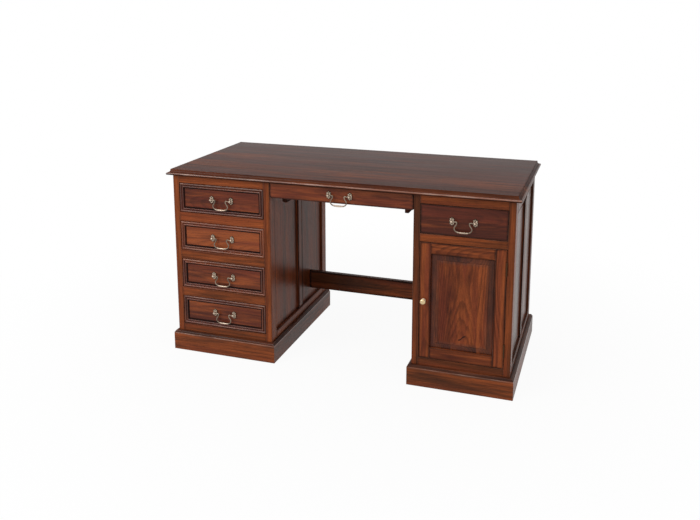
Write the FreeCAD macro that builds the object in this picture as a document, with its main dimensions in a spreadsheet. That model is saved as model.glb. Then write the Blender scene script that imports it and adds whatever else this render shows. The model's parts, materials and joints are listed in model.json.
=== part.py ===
"""A wooden pedestal desk: two frame-and-panel pedestals under a moulded top.

The left pedestal holds four drawers, the right one a drawer over a cabinet with a hinged door,
and a slim drawer hangs under the top between them. Lengths are millimetres. The desk faces -Y,
+X is to the right seen from the front, +Z is up, and the origin is the middle of the footprint
on the floor.
"""

import FreeCAD
import Part
import Sketcher

import math
import os
from types import SimpleNamespace

SIZES = {
    # The top and its moulded edge
    "desk_height": 762,
    "top_length": 1400,
    "top_depth": 660,
    "top_thickness": 22,
    "top_overhang": 20,
    "top_edge_width": 17,
    "top_cove_radius": 16,
    "lip_height": 9,
    "lip_radius": 3.5,
    "lip_step": 5,
    # The pedestals' frames and panels
    "left_pedestal_width": 420,
    "right_pedestal_width": 368,
    "post_width": 25,
    "post_depth": 48,
    "side_top_rail": 57,
    "side_bottom_rail": 42,
    "muntin_width": 46,
    "panel_thickness": 10,
    "panel_recess": 8,
    "panel_tongue": 8,
    "groove_clearance": 0.2,
    "back_thickness": 22,
    "bottom_thickness": 10,
    "runner_width": 18,
    "runner_height": 20,
    "cleat_size": 20,
    "cleat_setback": 62,
    # The plinths
    "plinth_thickness": 15,
    "plinth_height": 72,
    "plinth_moulding_height": 10,
    "plinth_moulding_radius": 11,
    "plinth_step": 2,
    "plinth_top_width": 3,
    # The stretcher and the rail behind the kneehole
    "stretcher_height": 78,
    "stretcher_thickness": 22,
    "stretcher_rise": 157,
    "stretcher_from_back": 164,
    "back_rail_height": 60,
    # The drawer openings and fronts
    "drawer_gap": 1.8,
    "front_thickness": 20,
    "left_top_rail": 32,
    "left_divider_rail": 36.5,
    "left_bottom_rail": 40.1,
    "right_top_rail": 34.5,
    "right_drawer_height": 109.5,
    "right_middle_rail": 30,
    "right_bottom_rail": 38,
    "centre_drawer_height": 61.2,
    "centre_end_gap": 2.5,
    # The moulding round the left drawers' fronts
    "moulding_width": 20,
    "moulding_thickness": 6,
    "moulding_edge_height": 3.5,
    "moulding_bead_width": 9,
    "moulding_bead_radius": 6,
    "moulding_groove_height": 2.4,
    "moulding_inner_bead_width": 7,
    "moulding_inner_bead_radius": 5,
    # The drawer boxes
    "box_back_clearance": 38,
    "box_side_thickness": 12,
    "box_side_clearance": 2.5,
    "box_lift": 0.3,
    "box_headroom": 12,
    "drawer_bottom_thickness": 6,
    "drawer_bottom_rise": 8,
    "drawer_bottom_tongue": 5,
    "centre_box_back_clearance": 50,
    "centre_box_height": 48,
    # The hangers that carry the centre drawer
    "hanger_thickness": 20,
    "hanger_drop": 93,
    "hanger_setback": 60,
    "hanger_back_clearance": 88,
    "hanger_inset": 28,
    "hanger_chamfer": 12,
    "ledge_width": 15,
    "ledge_height": 15,
    "ledge_drop": 60,
    # The cabinet's shelf
    "shelf_thickness": 16,
    "shelf_rise": 332,
    "shelf_clearance": 1,
    "shelf_setback": 26,
    "shelf_pin_radius": 2.5,
    "shelf_pin_length": 18,
    "shelf_pin_depth": 8,
    "shelf_pin_inset": 32,
    "shelf_pin_clearance": 0.1,
    # The cabinet door and its raised panel
    "door_thickness": 20,
    "door_stile": 40,
    "door_rail": 42,
    "door_panel_back": 6,
    "door_tongue_thickness": 6,
    "door_tongue": 8,
    "door_bevel_width": 23,
    "door_bevel_rise": 4.5,
    "door_field_step": 1.5,
    # The door's butt hinges
    "hinge_length": 50,
    "hinge_inset": 70,
    "hinge_leaf_thickness": 0.8,
    "hinge_leaf_depth": 18,
    "hinge_knuckle_radius": 2.5,
    "hinge_pin_radius": 1.2,
    "hinge_pin_clearance": 0.05,
    "hinge_knuckle_gap": 0.3,
    "hinge_face_gap": 0.2,
    # The door's catch
    "catch_width": 16,
    "catch_depth": 18,
    "catch_height": 24,
    "catch_drop": 40,
    "catch_plate_thickness": 1,
    "catch_air_gap": 0.4,
    # The door's knob
    "knob_inset": 16,
    "knob_rose_radius": 9,
    "knob_rose_thickness": 2,
    "knob_neck_radius": 4.5,
    "knob_neck_length": 7,
    "knob_radius": 11,
    "knob_widest": 12,
    "knob_length": 19,
    "knob_under_radius": 5,
    # The bail handles
    "handle_spacing": 84,
    "rosette_height": 32,
    "rosette_width": 22,
    "rosette_thickness": 3,
    "handle_stem_radius": 3.5,
    "handle_head_radius": 5.5,
    "handle_standoff": 11,
    "bail_radius": 2.5,
    "bail_pin_clearance": 0.05,
    "bail_pin_reach": 6.5,
    "bail_elbow_reach": 15,
    "bail_elbow_radius": 4.5,
    "bail_belly_reach": 8,
    "bail_belly_drop": 28,
    "bail_belly_radius": 10,
    "bail_foot_reach": 20,
    "bail_foot_radius": 8,
    "bail_drop": 37,
    # How far a cutting shape runs past what it cuts
    "overrun": 2,
}

LEFT_DRAWERS = 4
HINGE_KNUCKLES = 3

ALONG_X = FreeCAD.Vector(1, 0, 0)
ALONG_Y = FreeCAD.Vector(0, 1, 0)
ALONG_Z = FreeCAD.Vector(0, 0, 1)

# How a sketch's own axes lie: across and up
SKETCH_PLANES = {
    "XY": FreeCAD.Rotation(),
    "XZ": FreeCAD.Rotation(ALONG_X, 90),
    "YZ": FreeCAD.Rotation(ALONG_X + ALONG_Y + ALONG_Z, 120),
}
UPRIGHT = FreeCAD.Rotation()
FACING_FRONT = FreeCAD.Rotation(ALONG_X, 90)
ACROSS = FreeCAD.Rotation(ALONG_Y, 90)

COUNTERCLOCKWISE = 1
CLOCKWISE = -1


class Size:
    """A named size, or a sum of named sizes: the text of an expression and its value in mm."""

    def __init__(self, text, value):
        self.text = text
        self.value = value

    @staticmethod
    def of(other):
        return other if isinstance(other, Size) else Size(repr(other), other)

    def __add__(self, other):
        other = Size.of(other)
        return Size(f"({self.text} + {other.text})", self.value + other.value)

    def __sub__(self, other):
        other = Size.of(other)
        return Size(f"({self.text} - {other.text})", self.value - other.value)

    def __mul__(self, factor):
        factor = Size.of(factor)
        return Size(f"({self.text} * {factor.text})", self.value * factor.value)

    def __truediv__(self, factor):
        factor = Size.of(factor)
        return Size(f"({self.text} / {factor.text})", self.value / factor.value)

    def __neg__(self):
        return Size(f"(-{self.text})", -self.value)


def write_sheet(document):
    """The spreadsheet of driving sizes. Gives back the sizes by name."""
    sheet = document.addObject("Spreadsheet::Sheet", "Sizes")
    for row, (name, value) in enumerate(SIZES.items(), start=1):
        sheet.set(f"A{row}", name)
        sheet.set(f"B{row}", str(value))
        sheet.setAlias(f"B{row}", name)
    document.recompute()
    return SimpleNamespace(**{name: Size(f"Sizes.{name}", value) for name, value in SIZES.items()})


doc = FreeCAD.newDocument("PedestalDesk")
s = write_sheet(doc)
nodes = []

# Places that many pieces share
ZERO = Size("0", 0)
case_top = s.desk_height - s.top_thickness
case_right = s.top_length / 2 - s.top_overhang
case_left = -case_right
case_back = s.top_depth / 2 - s.top_overhang
case_front = -case_back
frame_front = case_front + s.post_depth
frame_back = case_back - s.post_depth
inside_back = case_back - s.back_thickness
panel_low = s.plinth_height + s.side_bottom_rail
panel_high = case_top - s.side_top_rail
kneehole_left = case_left + s.left_pedestal_width
kneehole_right = case_right - s.right_pedestal_width
front_rear = case_front + s.front_thickness


# Building blocks


def node(label, piece):
    """Marks a finished sub-part, whose label names its file."""
    piece.Label = label
    nodes.append(piece)
    return piece


def place(piece, x, y, z, rotation=UPRIGHT):
    """Puts a piece at a point worked out from the sizes."""
    piece.Placement = FreeCAD.Placement(FreeCAD.Vector(), rotation)
    for axis, size in zip("xyz", (x, y, z)):
        piece.setExpression(f"Placement.Base.{axis}", size.text)
    return piece


def grow(limits, amount):
    """The limits of a stretch, moved out by an amount at both ends."""
    return limits[0] - amount, limits[1] + amount


def board(name, x, y, z):
    """A board between two limits along each axis."""
    piece = doc.addObject("Part::Box", name)
    for side, (low, high) in zip(("Length", "Width", "Height"), (x, y, z)):
        piece.setExpression(side, (high - low).text)
    return place(piece, x[0], y[0], z[0])


def rod(name, radius, length):
    """A round bar along its own Z axis."""
    piece = doc.addObject("Part::Cylinder", name)
    piece.setExpression("Radius", radius.text)
    piece.setExpression("Height", length.text)
    return piece


def group(name, pieces):
    """Separate pieces kept side by side."""
    compound = doc.addObject("Part::Compound", name)
    compound.Links = list(pieces)
    return compound


def cut(name, base, *tools):
    """A piece with some shapes taken out of it."""
    result = doc.addObject("Part::Cut", name)
    result.Base = base
    result.Tool = tools[0] if len(tools) == 1 else group(name + "_waste", tools)
    return result


def fuse(name, pieces):
    """One piece worked from several overlapping shapes."""
    result = doc.addObject("Part::MultiFuse", name)
    result.Shapes = list(pieces)
    return result


def common(name, first, second):
    """What two shapes share."""
    result = doc.addObject("Part::Common", name)
    result.Base = first
    result.Tool = second
    return result


def hold(sketch, kind, edge, point, size):
    """Ties a point of a sketch to a size, measured from the sketch's origin."""
    index = sketch.addConstraint(Sketcher.Constraint(kind, -1, 1, edge, point, size.value))
    sketch.setExpression(f"Constraints[{index}]", size.text)


def hold_radius(sketch, edge, radius):
    """Ties an arc of a sketch to a radius."""
    index = sketch.addConstraint(Sketcher.Constraint("Radius", edge, radius.value))
    sketch.setExpression(f"Constraints[{index}]", radius.text)


def add_arc(sketch, centre, radius, start_angle, end_angle):
    """Adds a counterclockwise arc, and gives back its index."""
    if end_angle < start_angle:
        end_angle += 2 * math.pi
    circle = Part.Circle(centre, ALONG_Z, radius)
    return sketch.addGeometry(Part.ArcOfCircle(circle, start_angle, end_angle), False)


def add_edge(sketch, start, end):
    """Adds the edge that ends at a corner: (index, which of its points is first, which is last)."""
    a = FreeCAD.Vector(start[0].value, start[1].value)
    b = FreeCAD.Vector(end[0].value, end[1].value)
    if len(end) == 2:
        return sketch.addGeometry(Part.LineSegment(a, b), False), 1, 2
    radius, turn = end[2], end[3]
    chord = b - a
    across = FreeCAD.Vector(-chord.y, chord.x).normalize()
    reach = math.sqrt(radius.value**2 - chord.Length**2 / 4)
    centre = (a + b) * 0.5 + across * (turn * reach)
    from_a = math.atan2(a.y - centre.y, a.x - centre.x)
    from_b = math.atan2(b.y - centre.y, b.x - centre.x)
    angles = (from_a, from_b) if turn == COUNTERCLOCKWISE else (from_b, from_a)
    edge = add_arc(sketch, centre, radius.value, *angles)
    return (edge, 1, 2) if turn == COUNTERCLOCKWISE else (edge, 2, 1)


def draw_outline(sketch, corners):
    """Draws a closed outline. A corner is (across, up), or (across, up, radius, turn) after an arc."""
    edges = [add_edge(sketch, a, b) for a, b in zip(corners, corners[1:] + corners[:1])]
    for (edge, _, last), (following, first, _) in zip(edges, edges[1:] + edges[:1]):
        sketch.addConstraint(Sketcher.Constraint("Coincident", edge, last, following, first))
    for (edge, first, _), corner in zip(edges, corners):
        hold(sketch, "DistanceX", edge, first, corner[0])
        hold(sketch, "DistanceY", edge, first, corner[1])
    for (edge, _, _), corner in zip(edges, corners[1:] + corners[:1]):
        if len(corner) > 2:
            hold_radius(sketch, edge, corner[2])
    return sketch


def outline(name, plane, corners):
    """A closed outline on one of the main planes."""
    sketch = doc.addObject("Sketcher::SketchObject", name)
    sketch.Placement = FreeCAD.Placement(FreeCAD.Vector(), SKETCH_PLANES[plane])
    return draw_outline(sketch, corners)


def extrude(name, base, direction, length, both_ways=False):
    """A closed outline carried straight along a direction."""
    solid = doc.addObject("Part::Extrusion", name)
    solid.Base = base
    solid.DirMode = "Custom"
    solid.Dir = direction
    solid.Solid = True
    solid.Symmetric = both_ways
    solid.setExpression("LengthFwd", length.text)
    return solid


def turned(name, corners):
    """A piece turned on a lathe: an outline beside its own Z axis, spun round it."""
    body = doc.addObject("PartDesign::Body", name)
    sketch = body.newObject("Sketcher::SketchObject", name + "_profile")
    plane = next(f for f in body.Origin.OriginFeatures if f.Role == "XZ_Plane")
    sketch.AttachmentSupport = [(plane, "")]
    sketch.MapMode = "FlatFace"
    draw_outline(sketch, corners)
    turning = body.newObject("PartDesign::Revolution", name + "_turning")
    turning.Profile = sketch
    turning.ReferenceAxis = (sketch, ["V_Axis"])
    body.Tip = turning
    return body


def rounded_path(name, corners, radii):
    """A path of straight runs on the XZ plane, joined by tangent arcs, one radius to each inner corner."""
    sketch = doc.addObject("Sketcher::SketchObject", name)
    sketch.Placement = FreeCAD.Placement(FreeCAD.Vector(), SKETCH_PLANES["XZ"])
    points = [FreeCAD.Vector(x.value, z.value) for x, z in corners]
    starts, ends, arcs = [points[0]], [], []
    for before, point, after, radius in zip(points, points[1:], points[2:], radii):
        arrive = (point - before).normalize()
        leave = (after - point).normalize()
        turn = COUNTERCLOCKWISE if arrive.x * leave.y - arrive.y * leave.x > 0 else CLOCKWISE
        setback = radius.value * math.tan(arrive.getAngle(leave) / 2)
        ends.append(point - arrive * setback)
        starts.append(point + leave * setback)
        centre = ends[-1] + FreeCAD.Vector(-arrive.y, arrive.x) * (turn * radius.value)
        arcs.append((centre, radius, turn, ends[-1], starts[-1]))
    ends.append(points[-1])
    runs = [sketch.addGeometry(Part.LineSegment(a, b), False) for a, b in zip(starts, ends)]
    for place_in_row, (centre, radius, turn, a, b) in enumerate(arcs):
        from_a = math.atan2(a.y - centre.y, a.x - centre.x)
        from_b = math.atan2(b.y - centre.y, b.x - centre.x)
        angles = (from_a, from_b) if turn == COUNTERCLOCKWISE else (from_b, from_a)
        arc = add_arc(sketch, centre, radius.value, *angles)
        first, last = (1, 2) if turn == COUNTERCLOCKWISE else (2, 1)
        before, after = runs[place_in_row], runs[place_in_row + 1]
        sketch.addConstraint(Sketcher.Constraint("Tangent", before, 2, arc, first))
        sketch.addConstraint(Sketcher.Constraint("Tangent", arc, last, after, 1))
        hold_radius(sketch, arc, radius)
        corner = sketch.addGeometry(Part.Point(points[place_in_row + 1]), True)
        for run in (before, after):
            sketch.addConstraint(Sketcher.Constraint("PointOnObject", corner, 1, run))
        hold(sketch, "DistanceX", corner, 1, corners[place_in_row + 1][0])
        hold(sketch, "DistanceY", corner, 1, corners[place_in_row + 1][1])
    for run, point, corner in ((runs[0], 1, corners[0]), (runs[-1], 2, corners[-1])):
        hold(sketch, "DistanceX", run, point, corner[0])
        hold(sketch, "DistanceY", run, point, corner[1])
    edge_count = len(runs) + len(arcs)
    return sketch, [f"Edge{number + 1}" for number in range(edge_count)]


def mitred_strip(name, inner_half, width, height, section):
    """A moulded strip with mitred ends, in its own frame.

    It runs along X, its inner edge is on the X axis, its width goes out along +Y and its back
    lies on the XY plane. The section is drawn across (Y) and up (Z).
    """
    outer_half = inner_half + width
    plan = outline(
        name + "_plan",
        "XY",
        [(-inner_half, ZERO), (inner_half, ZERO), (outer_half, width), (-outer_half, width)],
    )
    blank = extrude(name + "_blank", plan, ALONG_Z, height)
    run = extrude(name + "_run", outline(name + "_section", "YZ", section), ALONG_X, outer_half * 2, True)
    return common(name, blank, run)


# The top


def top_outline(half):
    """The top seen from one end: flat above, a cove all round its edge and a rounded lip below."""
    lip_top = case_top + s.lip_height
    rim = half - s.lip_radius
    step = half - s.lip_step
    flat = half - s.top_edge_width
    return [
        (-rim, case_top, s.lip_radius, COUNTERCLOCKWISE),
        (rim, case_top),
        (half, case_top + s.lip_radius, s.lip_radius, COUNTERCLOCKWISE),
        (half, lip_top - s.lip_radius),
        (rim, lip_top, s.lip_radius, COUNTERCLOCKWISE),
        (step, lip_top),
        (flat, s.desk_height, s.top_cove_radius, CLOCKWISE),
        (-flat, s.desk_height),
        (-step, lip_top, s.top_cove_radius, CLOCKWISE),
        (-rim, lip_top),
        (-half, lip_top - s.lip_radius, s.lip_radius, COUNTERCLOCKWISE),
        (-half, case_top + s.lip_radius),
    ]


def make_top():
    """The moulded top: its end outline run along Y, met by its side outline run along X."""
    ends = outline("top_ends", "XZ", top_outline(s.top_length / 2))
    sides = outline("top_sides", "YZ", top_outline(s.top_depth / 2))
    lengthwise = extrude("top_lengthwise", sides, ALONG_X, s.top_length, True)
    crosswise = extrude("top_crosswise", ends, ALONG_Y, s.top_depth, True)
    node("desk_top", common("desk_top", lengthwise, crosswise))

    cleat_y = (frame_front + s.cleat_setback, frame_back - s.cleat_setback)
    cleat_z = (case_top - s.cleat_size, case_top)
    cleats = []
    for west, east in ((case_left, kneehole_left), (kneehole_right, case_right)):
        for low in (west + s.post_width, east - s.post_width - s.cleat_size):
            cleats.append(board("top_cleat", (low, low + s.cleat_size), cleat_y, cleat_z))
    node("top_cleats", group("top_cleats", cleats))


# The pedestals


def side_frame(side, face, x, panel_x, extra_waste):
    """One side of a pedestal: two posts, two rails and a muntin, grooved round two panels."""
    bays = (
        (frame_front, -s.muntin_width / 2),
        (s.muntin_width / 2, frame_back),
    )
    z = (panel_low, panel_high)
    name = f"{side}_{face}"
    panels, grooves = [], []
    for bay in bays:
        y = grow(bay, s.panel_tongue)
        tall = grow(z, s.panel_tongue)
        panels.append(board(name + "_panel", panel_x, y, tall))
        loose = [grow(limits, s.groove_clearance) for limits in (panel_x, y, tall)]
        grooves.append(board(name + "_groove", *loose))
    posts = []
    for end, y in (("front", (case_front, frame_front)), ("back", (frame_back, case_back))):
        blank = board(f"{name}_{end}_blank", x, y, (ZERO, case_top))
        posts.append(cut(f"{name}_{end}_post", blank, *grooves, *extra_waste[end]))
    between = (frame_front, frame_back)
    rails = []
    for level, tall in (("low", (s.plinth_height, panel_low)), ("high", (panel_high, case_top))):
        blank = board(f"{name}_{level}_rail_blank", x, between, tall)
        rails.append(cut(f"{name}_{level}_rail", blank, *grooves))
    blank = board(name + "_muntin_blank", x, (-s.muntin_width / 2, s.muntin_width / 2), z)
    return posts, rails, cut(name + "_muntin", blank, *grooves), panels


def plinth_section():
    """A plinth board's end: plumb face, a small step and a rounded moulding up to the case."""
    top = s.plinth_height + s.plinth_moulding_height
    return [
        (ZERO, ZERO),
        (s.plinth_thickness, ZERO),
        (s.plinth_thickness, s.plinth_height),
        (s.plinth_thickness - s.plinth_step, s.plinth_height),
        (s.plinth_top_width, top, s.plinth_moulding_radius, COUNTERCLOCKWISE),
        (ZERO, top),
    ]


def make_plinth(side, west, east):
    """Four mitred boards round the foot of a pedestal."""
    middle = (west + east) / 2
    sides = (
        ("front", (east - west) / 2, middle, case_front, 180),
        ("back", (east - west) / 2, middle, case_back, 0),
        ("west", (case_back - case_front) / 2, west, ZERO, 90),
        ("east", (case_back - case_front) / 2, east, ZERO, -90),
    )
    height = s.plinth_height + s.plinth_moulding_height
    strips = []
    for face, inner_half, x, y, turn in sides:
        name = f"{side}_{face}_plinth"
        strip = mitred_strip(name, inner_half, s.plinth_thickness, height, plinth_section())
        strips.append(place(strip, x, y, ZERO, FreeCAD.Rotation(ALONG_Z, turn)))
    node(f"{side}_plinth", group(f"{side}_plinth", strips))


def make_pedestal(side, west, east, rails, runner_tops, floor_top, post_waste):
    """A pedestal's case: side frames, back, front rails, drawer runners, bottom board and plinth."""
    inner = (west + s.post_width, east - s.post_width)
    back_x = grow(inner, s.panel_tongue)
    back_y = (case_back - s.panel_recess - s.panel_thickness, case_back - s.panel_recess)
    back_z = grow((panel_low, panel_high), s.panel_tongue)
    loose = [grow(limits, s.groove_clearance) for limits in (back_x, back_y, back_z)]
    back_groove = board(f"{side}_back_groove", *loose)
    waste = {"front": post_waste["front"], "back": [back_groove, *post_waste["back"]]}

    west_panel = (west + s.panel_recess, west + s.panel_recess + s.panel_thickness)
    east_panel = (east - s.panel_recess - s.panel_thickness, east - s.panel_recess)
    frames = [
        side_frame(side, "west", (west, inner[0]), west_panel, waste),
        side_frame(side, "east", (inner[1], east), east_panel, waste),
    ]
    node(f"{side}_posts", group(f"{side}_posts", [p for frame in frames for p in frame[0]]))
    node(f"{side}_side_rails", group(f"{side}_side_rails", [r for frame in frames for r in frame[1]]))
    node(f"{side}_muntins", group(f"{side}_muntins", [frame[2] for frame in frames]))
    node(f"{side}_side_panels", group(f"{side}_side_panels", [p for frame in frames for p in frame[3]]))

    back_rails = []
    for level, tall in (("low", (s.plinth_height, panel_low)), ("high", (panel_high, case_top))):
        blank = board(f"{side}_back_{level}_blank", inner, (inside_back, case_back), tall)
        back_rails.append(cut(f"{side}_back_{level}_rail", blank, back_groove))
    node(f"{side}_back_rails", group(f"{side}_back_rails", back_rails))
    node(f"{side}_back_panel", board(f"{side}_back_panel", back_x, back_y, back_z))

    front_rails = [board(f"{side}_front_rail", inner, (case_front, frame_front), z) for z in rails]
    node(f"{side}_front_rails", group(f"{side}_front_rails", front_rails))

    runners = []
    for top in runner_tops:
        for low in (inner[0], inner[1] - s.runner_width):
            x = (low, low + s.runner_width)
            runners.append(
                board(f"{side}_runner", x, (frame_front, inside_back), (top - s.runner_height, top))
            )
    node(f"{side}_runners", group(f"{side}_runners", runners))

    floor_z = (floor_top - s.bottom_thickness, floor_top)
    node(f"{side}_bottom_board", board(f"{side}_bottom_board", inner, (frame_front, inside_back), floor_z))
    make_plinth(side, west, east)


# The drawers


def make_handle(drawer, x, face, z):
    """A bail handle on a drawer front: two posts on oval rosettes, and the bail that hangs in them."""
    posts = []
    for half in (-s.handle_spacing / 2, s.handle_spacing / 2):
        oval = doc.addObject("Part::Ellipse", f"{drawer}_rosette_outline")
        oval.setExpression("MajorRadius", (s.rosette_height / 2).text)
        oval.setExpression("MinorRadius", (s.rosette_width / 2).text)
        oval.Placement = FreeCAD.Placement(FreeCAD.Vector(), FreeCAD.Rotation(ALONG_Z, 90))
        rosette = extrude(f"{drawer}_rosette", oval, ALONG_Z, s.rosette_thickness)
        stem = rod(f"{drawer}_stem", s.handle_stem_radius, s.handle_standoff)
        head = doc.addObject("Part::Sphere", f"{drawer}_head")
        head.setExpression("Radius", s.handle_head_radius.text)
        place(head, ZERO, ZERO, s.handle_standoff)
        reach = s.handle_head_radius + s.overrun
        hole = rod(f"{drawer}_hole", s.bail_radius + s.bail_pin_clearance, reach * 2)
        place(hole, -reach, ZERO, s.handle_standoff, ACROSS)
        solid = fuse(f"{drawer}_post_blank", (rosette, stem, head))
        posts.append(place(cut(f"{drawer}_post", solid, hole), x + half, face, z, FACING_FRONT))
    node(f"{drawer}_handle_posts", group(f"{drawer}_handle_posts", posts))

    post = s.handle_spacing / 2
    half_path = [
        (post + s.bail_pin_reach, ZERO),
        (post - s.bail_elbow_reach, ZERO),
        (post - s.bail_belly_reach, -s.bail_belly_drop),
        (post - s.bail_foot_reach, -s.bail_drop),
    ]
    corners = [(-across, up) for across, up in half_path] + half_path[::-1]
    bends = [s.bail_elbow_radius, s.bail_belly_radius, s.bail_foot_radius]
    path, edges = rounded_path(f"{drawer}_bail_path", corners, bends + bends[::-1])
    ring = doc.addObject("Part::Circle", f"{drawer}_bail_ring")
    ring.setExpression("Radius", s.bail_radius.text)
    place(ring, corners[0][0], ZERO, ZERO, ACROSS)
    bail = doc.addObject("Part::Sweep", f"{drawer}_bail")
    bail.Sections = [ring]
    bail.Spine = (path, edges)
    bail.Solid = True
    node(f"{drawer}_bail", place(bail, x, face - s.handle_standoff, z))


def make_box(drawer, x, y, z, front_blank):
    """A drawer's box: two sides, a back and a bottom let into the sides and the front. Gives the front."""
    sides_x = ((x[0], x[0] + s.box_side_thickness), (x[1] - s.box_side_thickness, x[1]))
    inner_x = (sides_x[0][1], sides_x[1][0])
    bottom_x = grow(inner_x, s.drawer_bottom_tongue)
    bottom_y = (y[0] - s.drawer_bottom_tongue, y[1])
    bottom_low = z[0] + s.drawer_bottom_rise
    bottom_z = (bottom_low, bottom_low + s.drawer_bottom_thickness)
    groove = board(
        f"{drawer}_bottom_groove",
        grow(bottom_x, s.groove_clearance),
        (bottom_y[0] - s.groove_clearance, y[1] + s.overrun),
        grow(bottom_z, s.groove_clearance),
    )
    pieces = [
        cut(f"{drawer}_side", board(f"{drawer}_side_blank", side_x, y, z), groove) for side_x in sides_x
    ]
    back_y = (y[1] - s.box_side_thickness, y[1])
    pieces.append(board(f"{drawer}_back", inner_x, back_y, (bottom_z[1] + s.groove_clearance, z[1])))
    pieces.append(board(f"{drawer}_bottom", bottom_x, bottom_y, bottom_z))
    node(f"{drawer}_box", group(f"{drawer}_box", pieces))
    return cut(f"{drawer}_front_board", front_blank, groove)


def moulding_section():
    """The picture-frame moulding's end: a thin inner bead, a quirk and a bold outer bead."""
    outer_bead = s.moulding_width - s.moulding_bead_width
    return [
        (ZERO, ZERO),
        (s.moulding_width, ZERO),
        (s.moulding_width, s.moulding_edge_height),
        (outer_bead, s.moulding_edge_height, s.moulding_bead_radius, COUNTERCLOCKWISE),
        (outer_bead, s.moulding_groove_height),
        (s.moulding_inner_bead_width, s.moulding_groove_height),
        (ZERO, s.moulding_groove_height / 2, s.moulding_inner_bead_radius, COUNTERCLOCKWISE),
    ]


def make_frame_moulding(drawer, x, z):
    """Four mitred strips round a drawer front."""
    middle_x = (x[0] + x[1]) / 2
    middle_z = (z[0] + z[1]) / 2
    inner_x = (x[0] + s.moulding_width, x[1] - s.moulding_width)
    inner_z = (z[0] + s.moulding_width, z[1] - s.moulding_width)
    half_x = (inner_x[1] - inner_x[0]) / 2
    half_z = (inner_z[1] - inner_z[0]) / 2
    seat = case_front + s.moulding_thickness
    sides = (
        ("top", half_x, middle_x, inner_z[1], 0),
        ("right", half_z, inner_x[1], middle_z, 90),
        ("bottom", half_x, middle_x, inner_z[0], 180),
        ("left", half_z, inner_x[0], middle_z, -90),
    )
    strips = []
    for face, inner_half, at_x, at_z, turn in sides:
        name = f"{drawer}_{face}_moulding"
        strip = mitred_strip(name, inner_half, s.moulding_width, s.moulding_thickness, moulding_section())
        rotation = FreeCAD.Rotation(ALONG_Y, turn) * FACING_FRONT
        strips.append(place(strip, at_x, seat, at_z, rotation))
    return strips


def make_case_drawer(drawer, inner, opening, moulded):
    """A drawer of a pedestal, in an opening between posts and rails."""
    x = grow(inner, -s.drawer_gap)
    z = grow(opening, -s.drawer_gap)
    face = case_front + s.moulding_thickness if moulded else case_front
    blank = board(f"{drawer}_front_blank", x, (face, front_rear), z)
    box_z = (opening[0] + s.box_lift, opening[1] - s.box_headroom)
    box_y = (front_rear, inside_back - s.box_back_clearance)
    front = make_box(drawer, grow(inner, -s.box_side_clearance), box_y, box_z, blank)
    strips = make_frame_moulding(drawer, x, z) if moulded else []
    node(f"{drawer}_front", group(f"{drawer}_front", [front, *strips]))
    make_handle(drawer, (x[0] + x[1]) / 2, face, (z[0] + z[1]) / 2)


def make_left_pedestal():
    """The left pedestal, with its four moulded drawers one above the other."""
    west, east = case_left, kneehole_left
    inner = (west + s.post_width, east - s.post_width)
    all_rails = s.left_top_rail + s.left_divider_rail * (LEFT_DRAWERS - 1) + s.left_bottom_rail
    opening_height = (case_top - s.plinth_height - all_rails) / LEFT_DRAWERS
    rails, openings = [(case_top - s.left_top_rail, case_top)], []
    for _ in range(LEFT_DRAWERS):
        high = rails[-1][0]
        low = high - opening_height
        openings.append((low, high))
        rails.append((low - s.left_divider_rail, low))
    rails[-1] = (s.plinth_height, openings[-1][0])
    floor_top = s.plinth_height + s.bottom_thickness
    runner_tops = [low for low, _ in openings]
    no_waste = {"front": [], "back": []}
    make_pedestal("left", west, east, rails, runner_tops, floor_top, no_waste)
    for number, opening in enumerate(openings, start=1):
        make_case_drawer(f"left_drawer_{number}", inner, opening, moulded=True)


def make_centre():
    """What spans the kneehole: stretcher, back rail, hangers and the slim drawer between them."""
    stretcher_x = grow((kneehole_left, kneehole_right), s.panel_recess)
    stretcher_back = case_back - s.stretcher_from_back
    stretcher_y = (stretcher_back - s.stretcher_thickness, stretcher_back)
    stretcher_z = (s.stretcher_rise, s.stretcher_rise + s.stretcher_height)
    node("stretcher", board("stretcher", stretcher_x, stretcher_y, stretcher_z))
    kneehole = (kneehole_left, kneehole_right)
    rail_z = (case_top - s.back_rail_height, case_top)
    node("centre_back_rail", board("centre_back_rail", kneehole, (inside_back, case_back), rail_z))

    hanger_front = case_front + s.hanger_setback
    hanger_back = inside_back - s.hanger_back_clearance
    ledge_top = case_top - s.ledge_drop
    ledge_low = ledge_top - s.ledge_height
    hanger_low = case_top - s.hanger_drop
    hangers = []
    for inward, outer in ((1, kneehole_left + s.hanger_inset), (-1, kneehole_right - s.hanger_inset)):
        inner = outer + s.hanger_thickness * inward
        lip = inner + s.ledge_width * inward
        bevel = outer + s.hanger_chamfer * inward
        profile = [
            (outer, case_top),
            (outer, hanger_low + s.hanger_chamfer),
            (bevel, hanger_low),
            (inner, hanger_low),
            (inner, ledge_low),
            (lip, ledge_low),
            (lip, ledge_top),
            (inner, ledge_top),
            (inner, case_top),
        ]
        section = outline("centre_hanger_section", "XZ", profile)
        hanger = extrude("centre_hanger", section, ALONG_Y, hanger_back - hanger_front)
        hangers.append(place(hanger, ZERO, hanger_front, ZERO))
    node("centre_hangers", group("centre_hangers", hangers))

    drawer = "centre_drawer"
    x = grow(kneehole, -s.centre_end_gap)
    z_high = case_top - s.drawer_gap
    z = (z_high - s.centre_drawer_height, z_high)
    blank = board(f"{drawer}_front_blank", x, (case_front, front_rear), z)
    box_x = grow(kneehole, -(s.hanger_inset + s.hanger_thickness + s.box_side_clearance))
    box_low = ledge_top + s.box_lift
    box_z = (box_low, box_low + s.centre_box_height)
    box_y = (front_rear, hanger_back - s.centre_box_back_clearance)
    front = make_box(drawer, box_x, box_y, box_z, blank)
    node(f"{drawer}_front", group(f"{drawer}_front", [front]))
    make_handle(drawer, (x[0] + x[1]) / 2, case_front, (z[0] + z[1]) / 2)


# The right pedestal's cabinet


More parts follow.
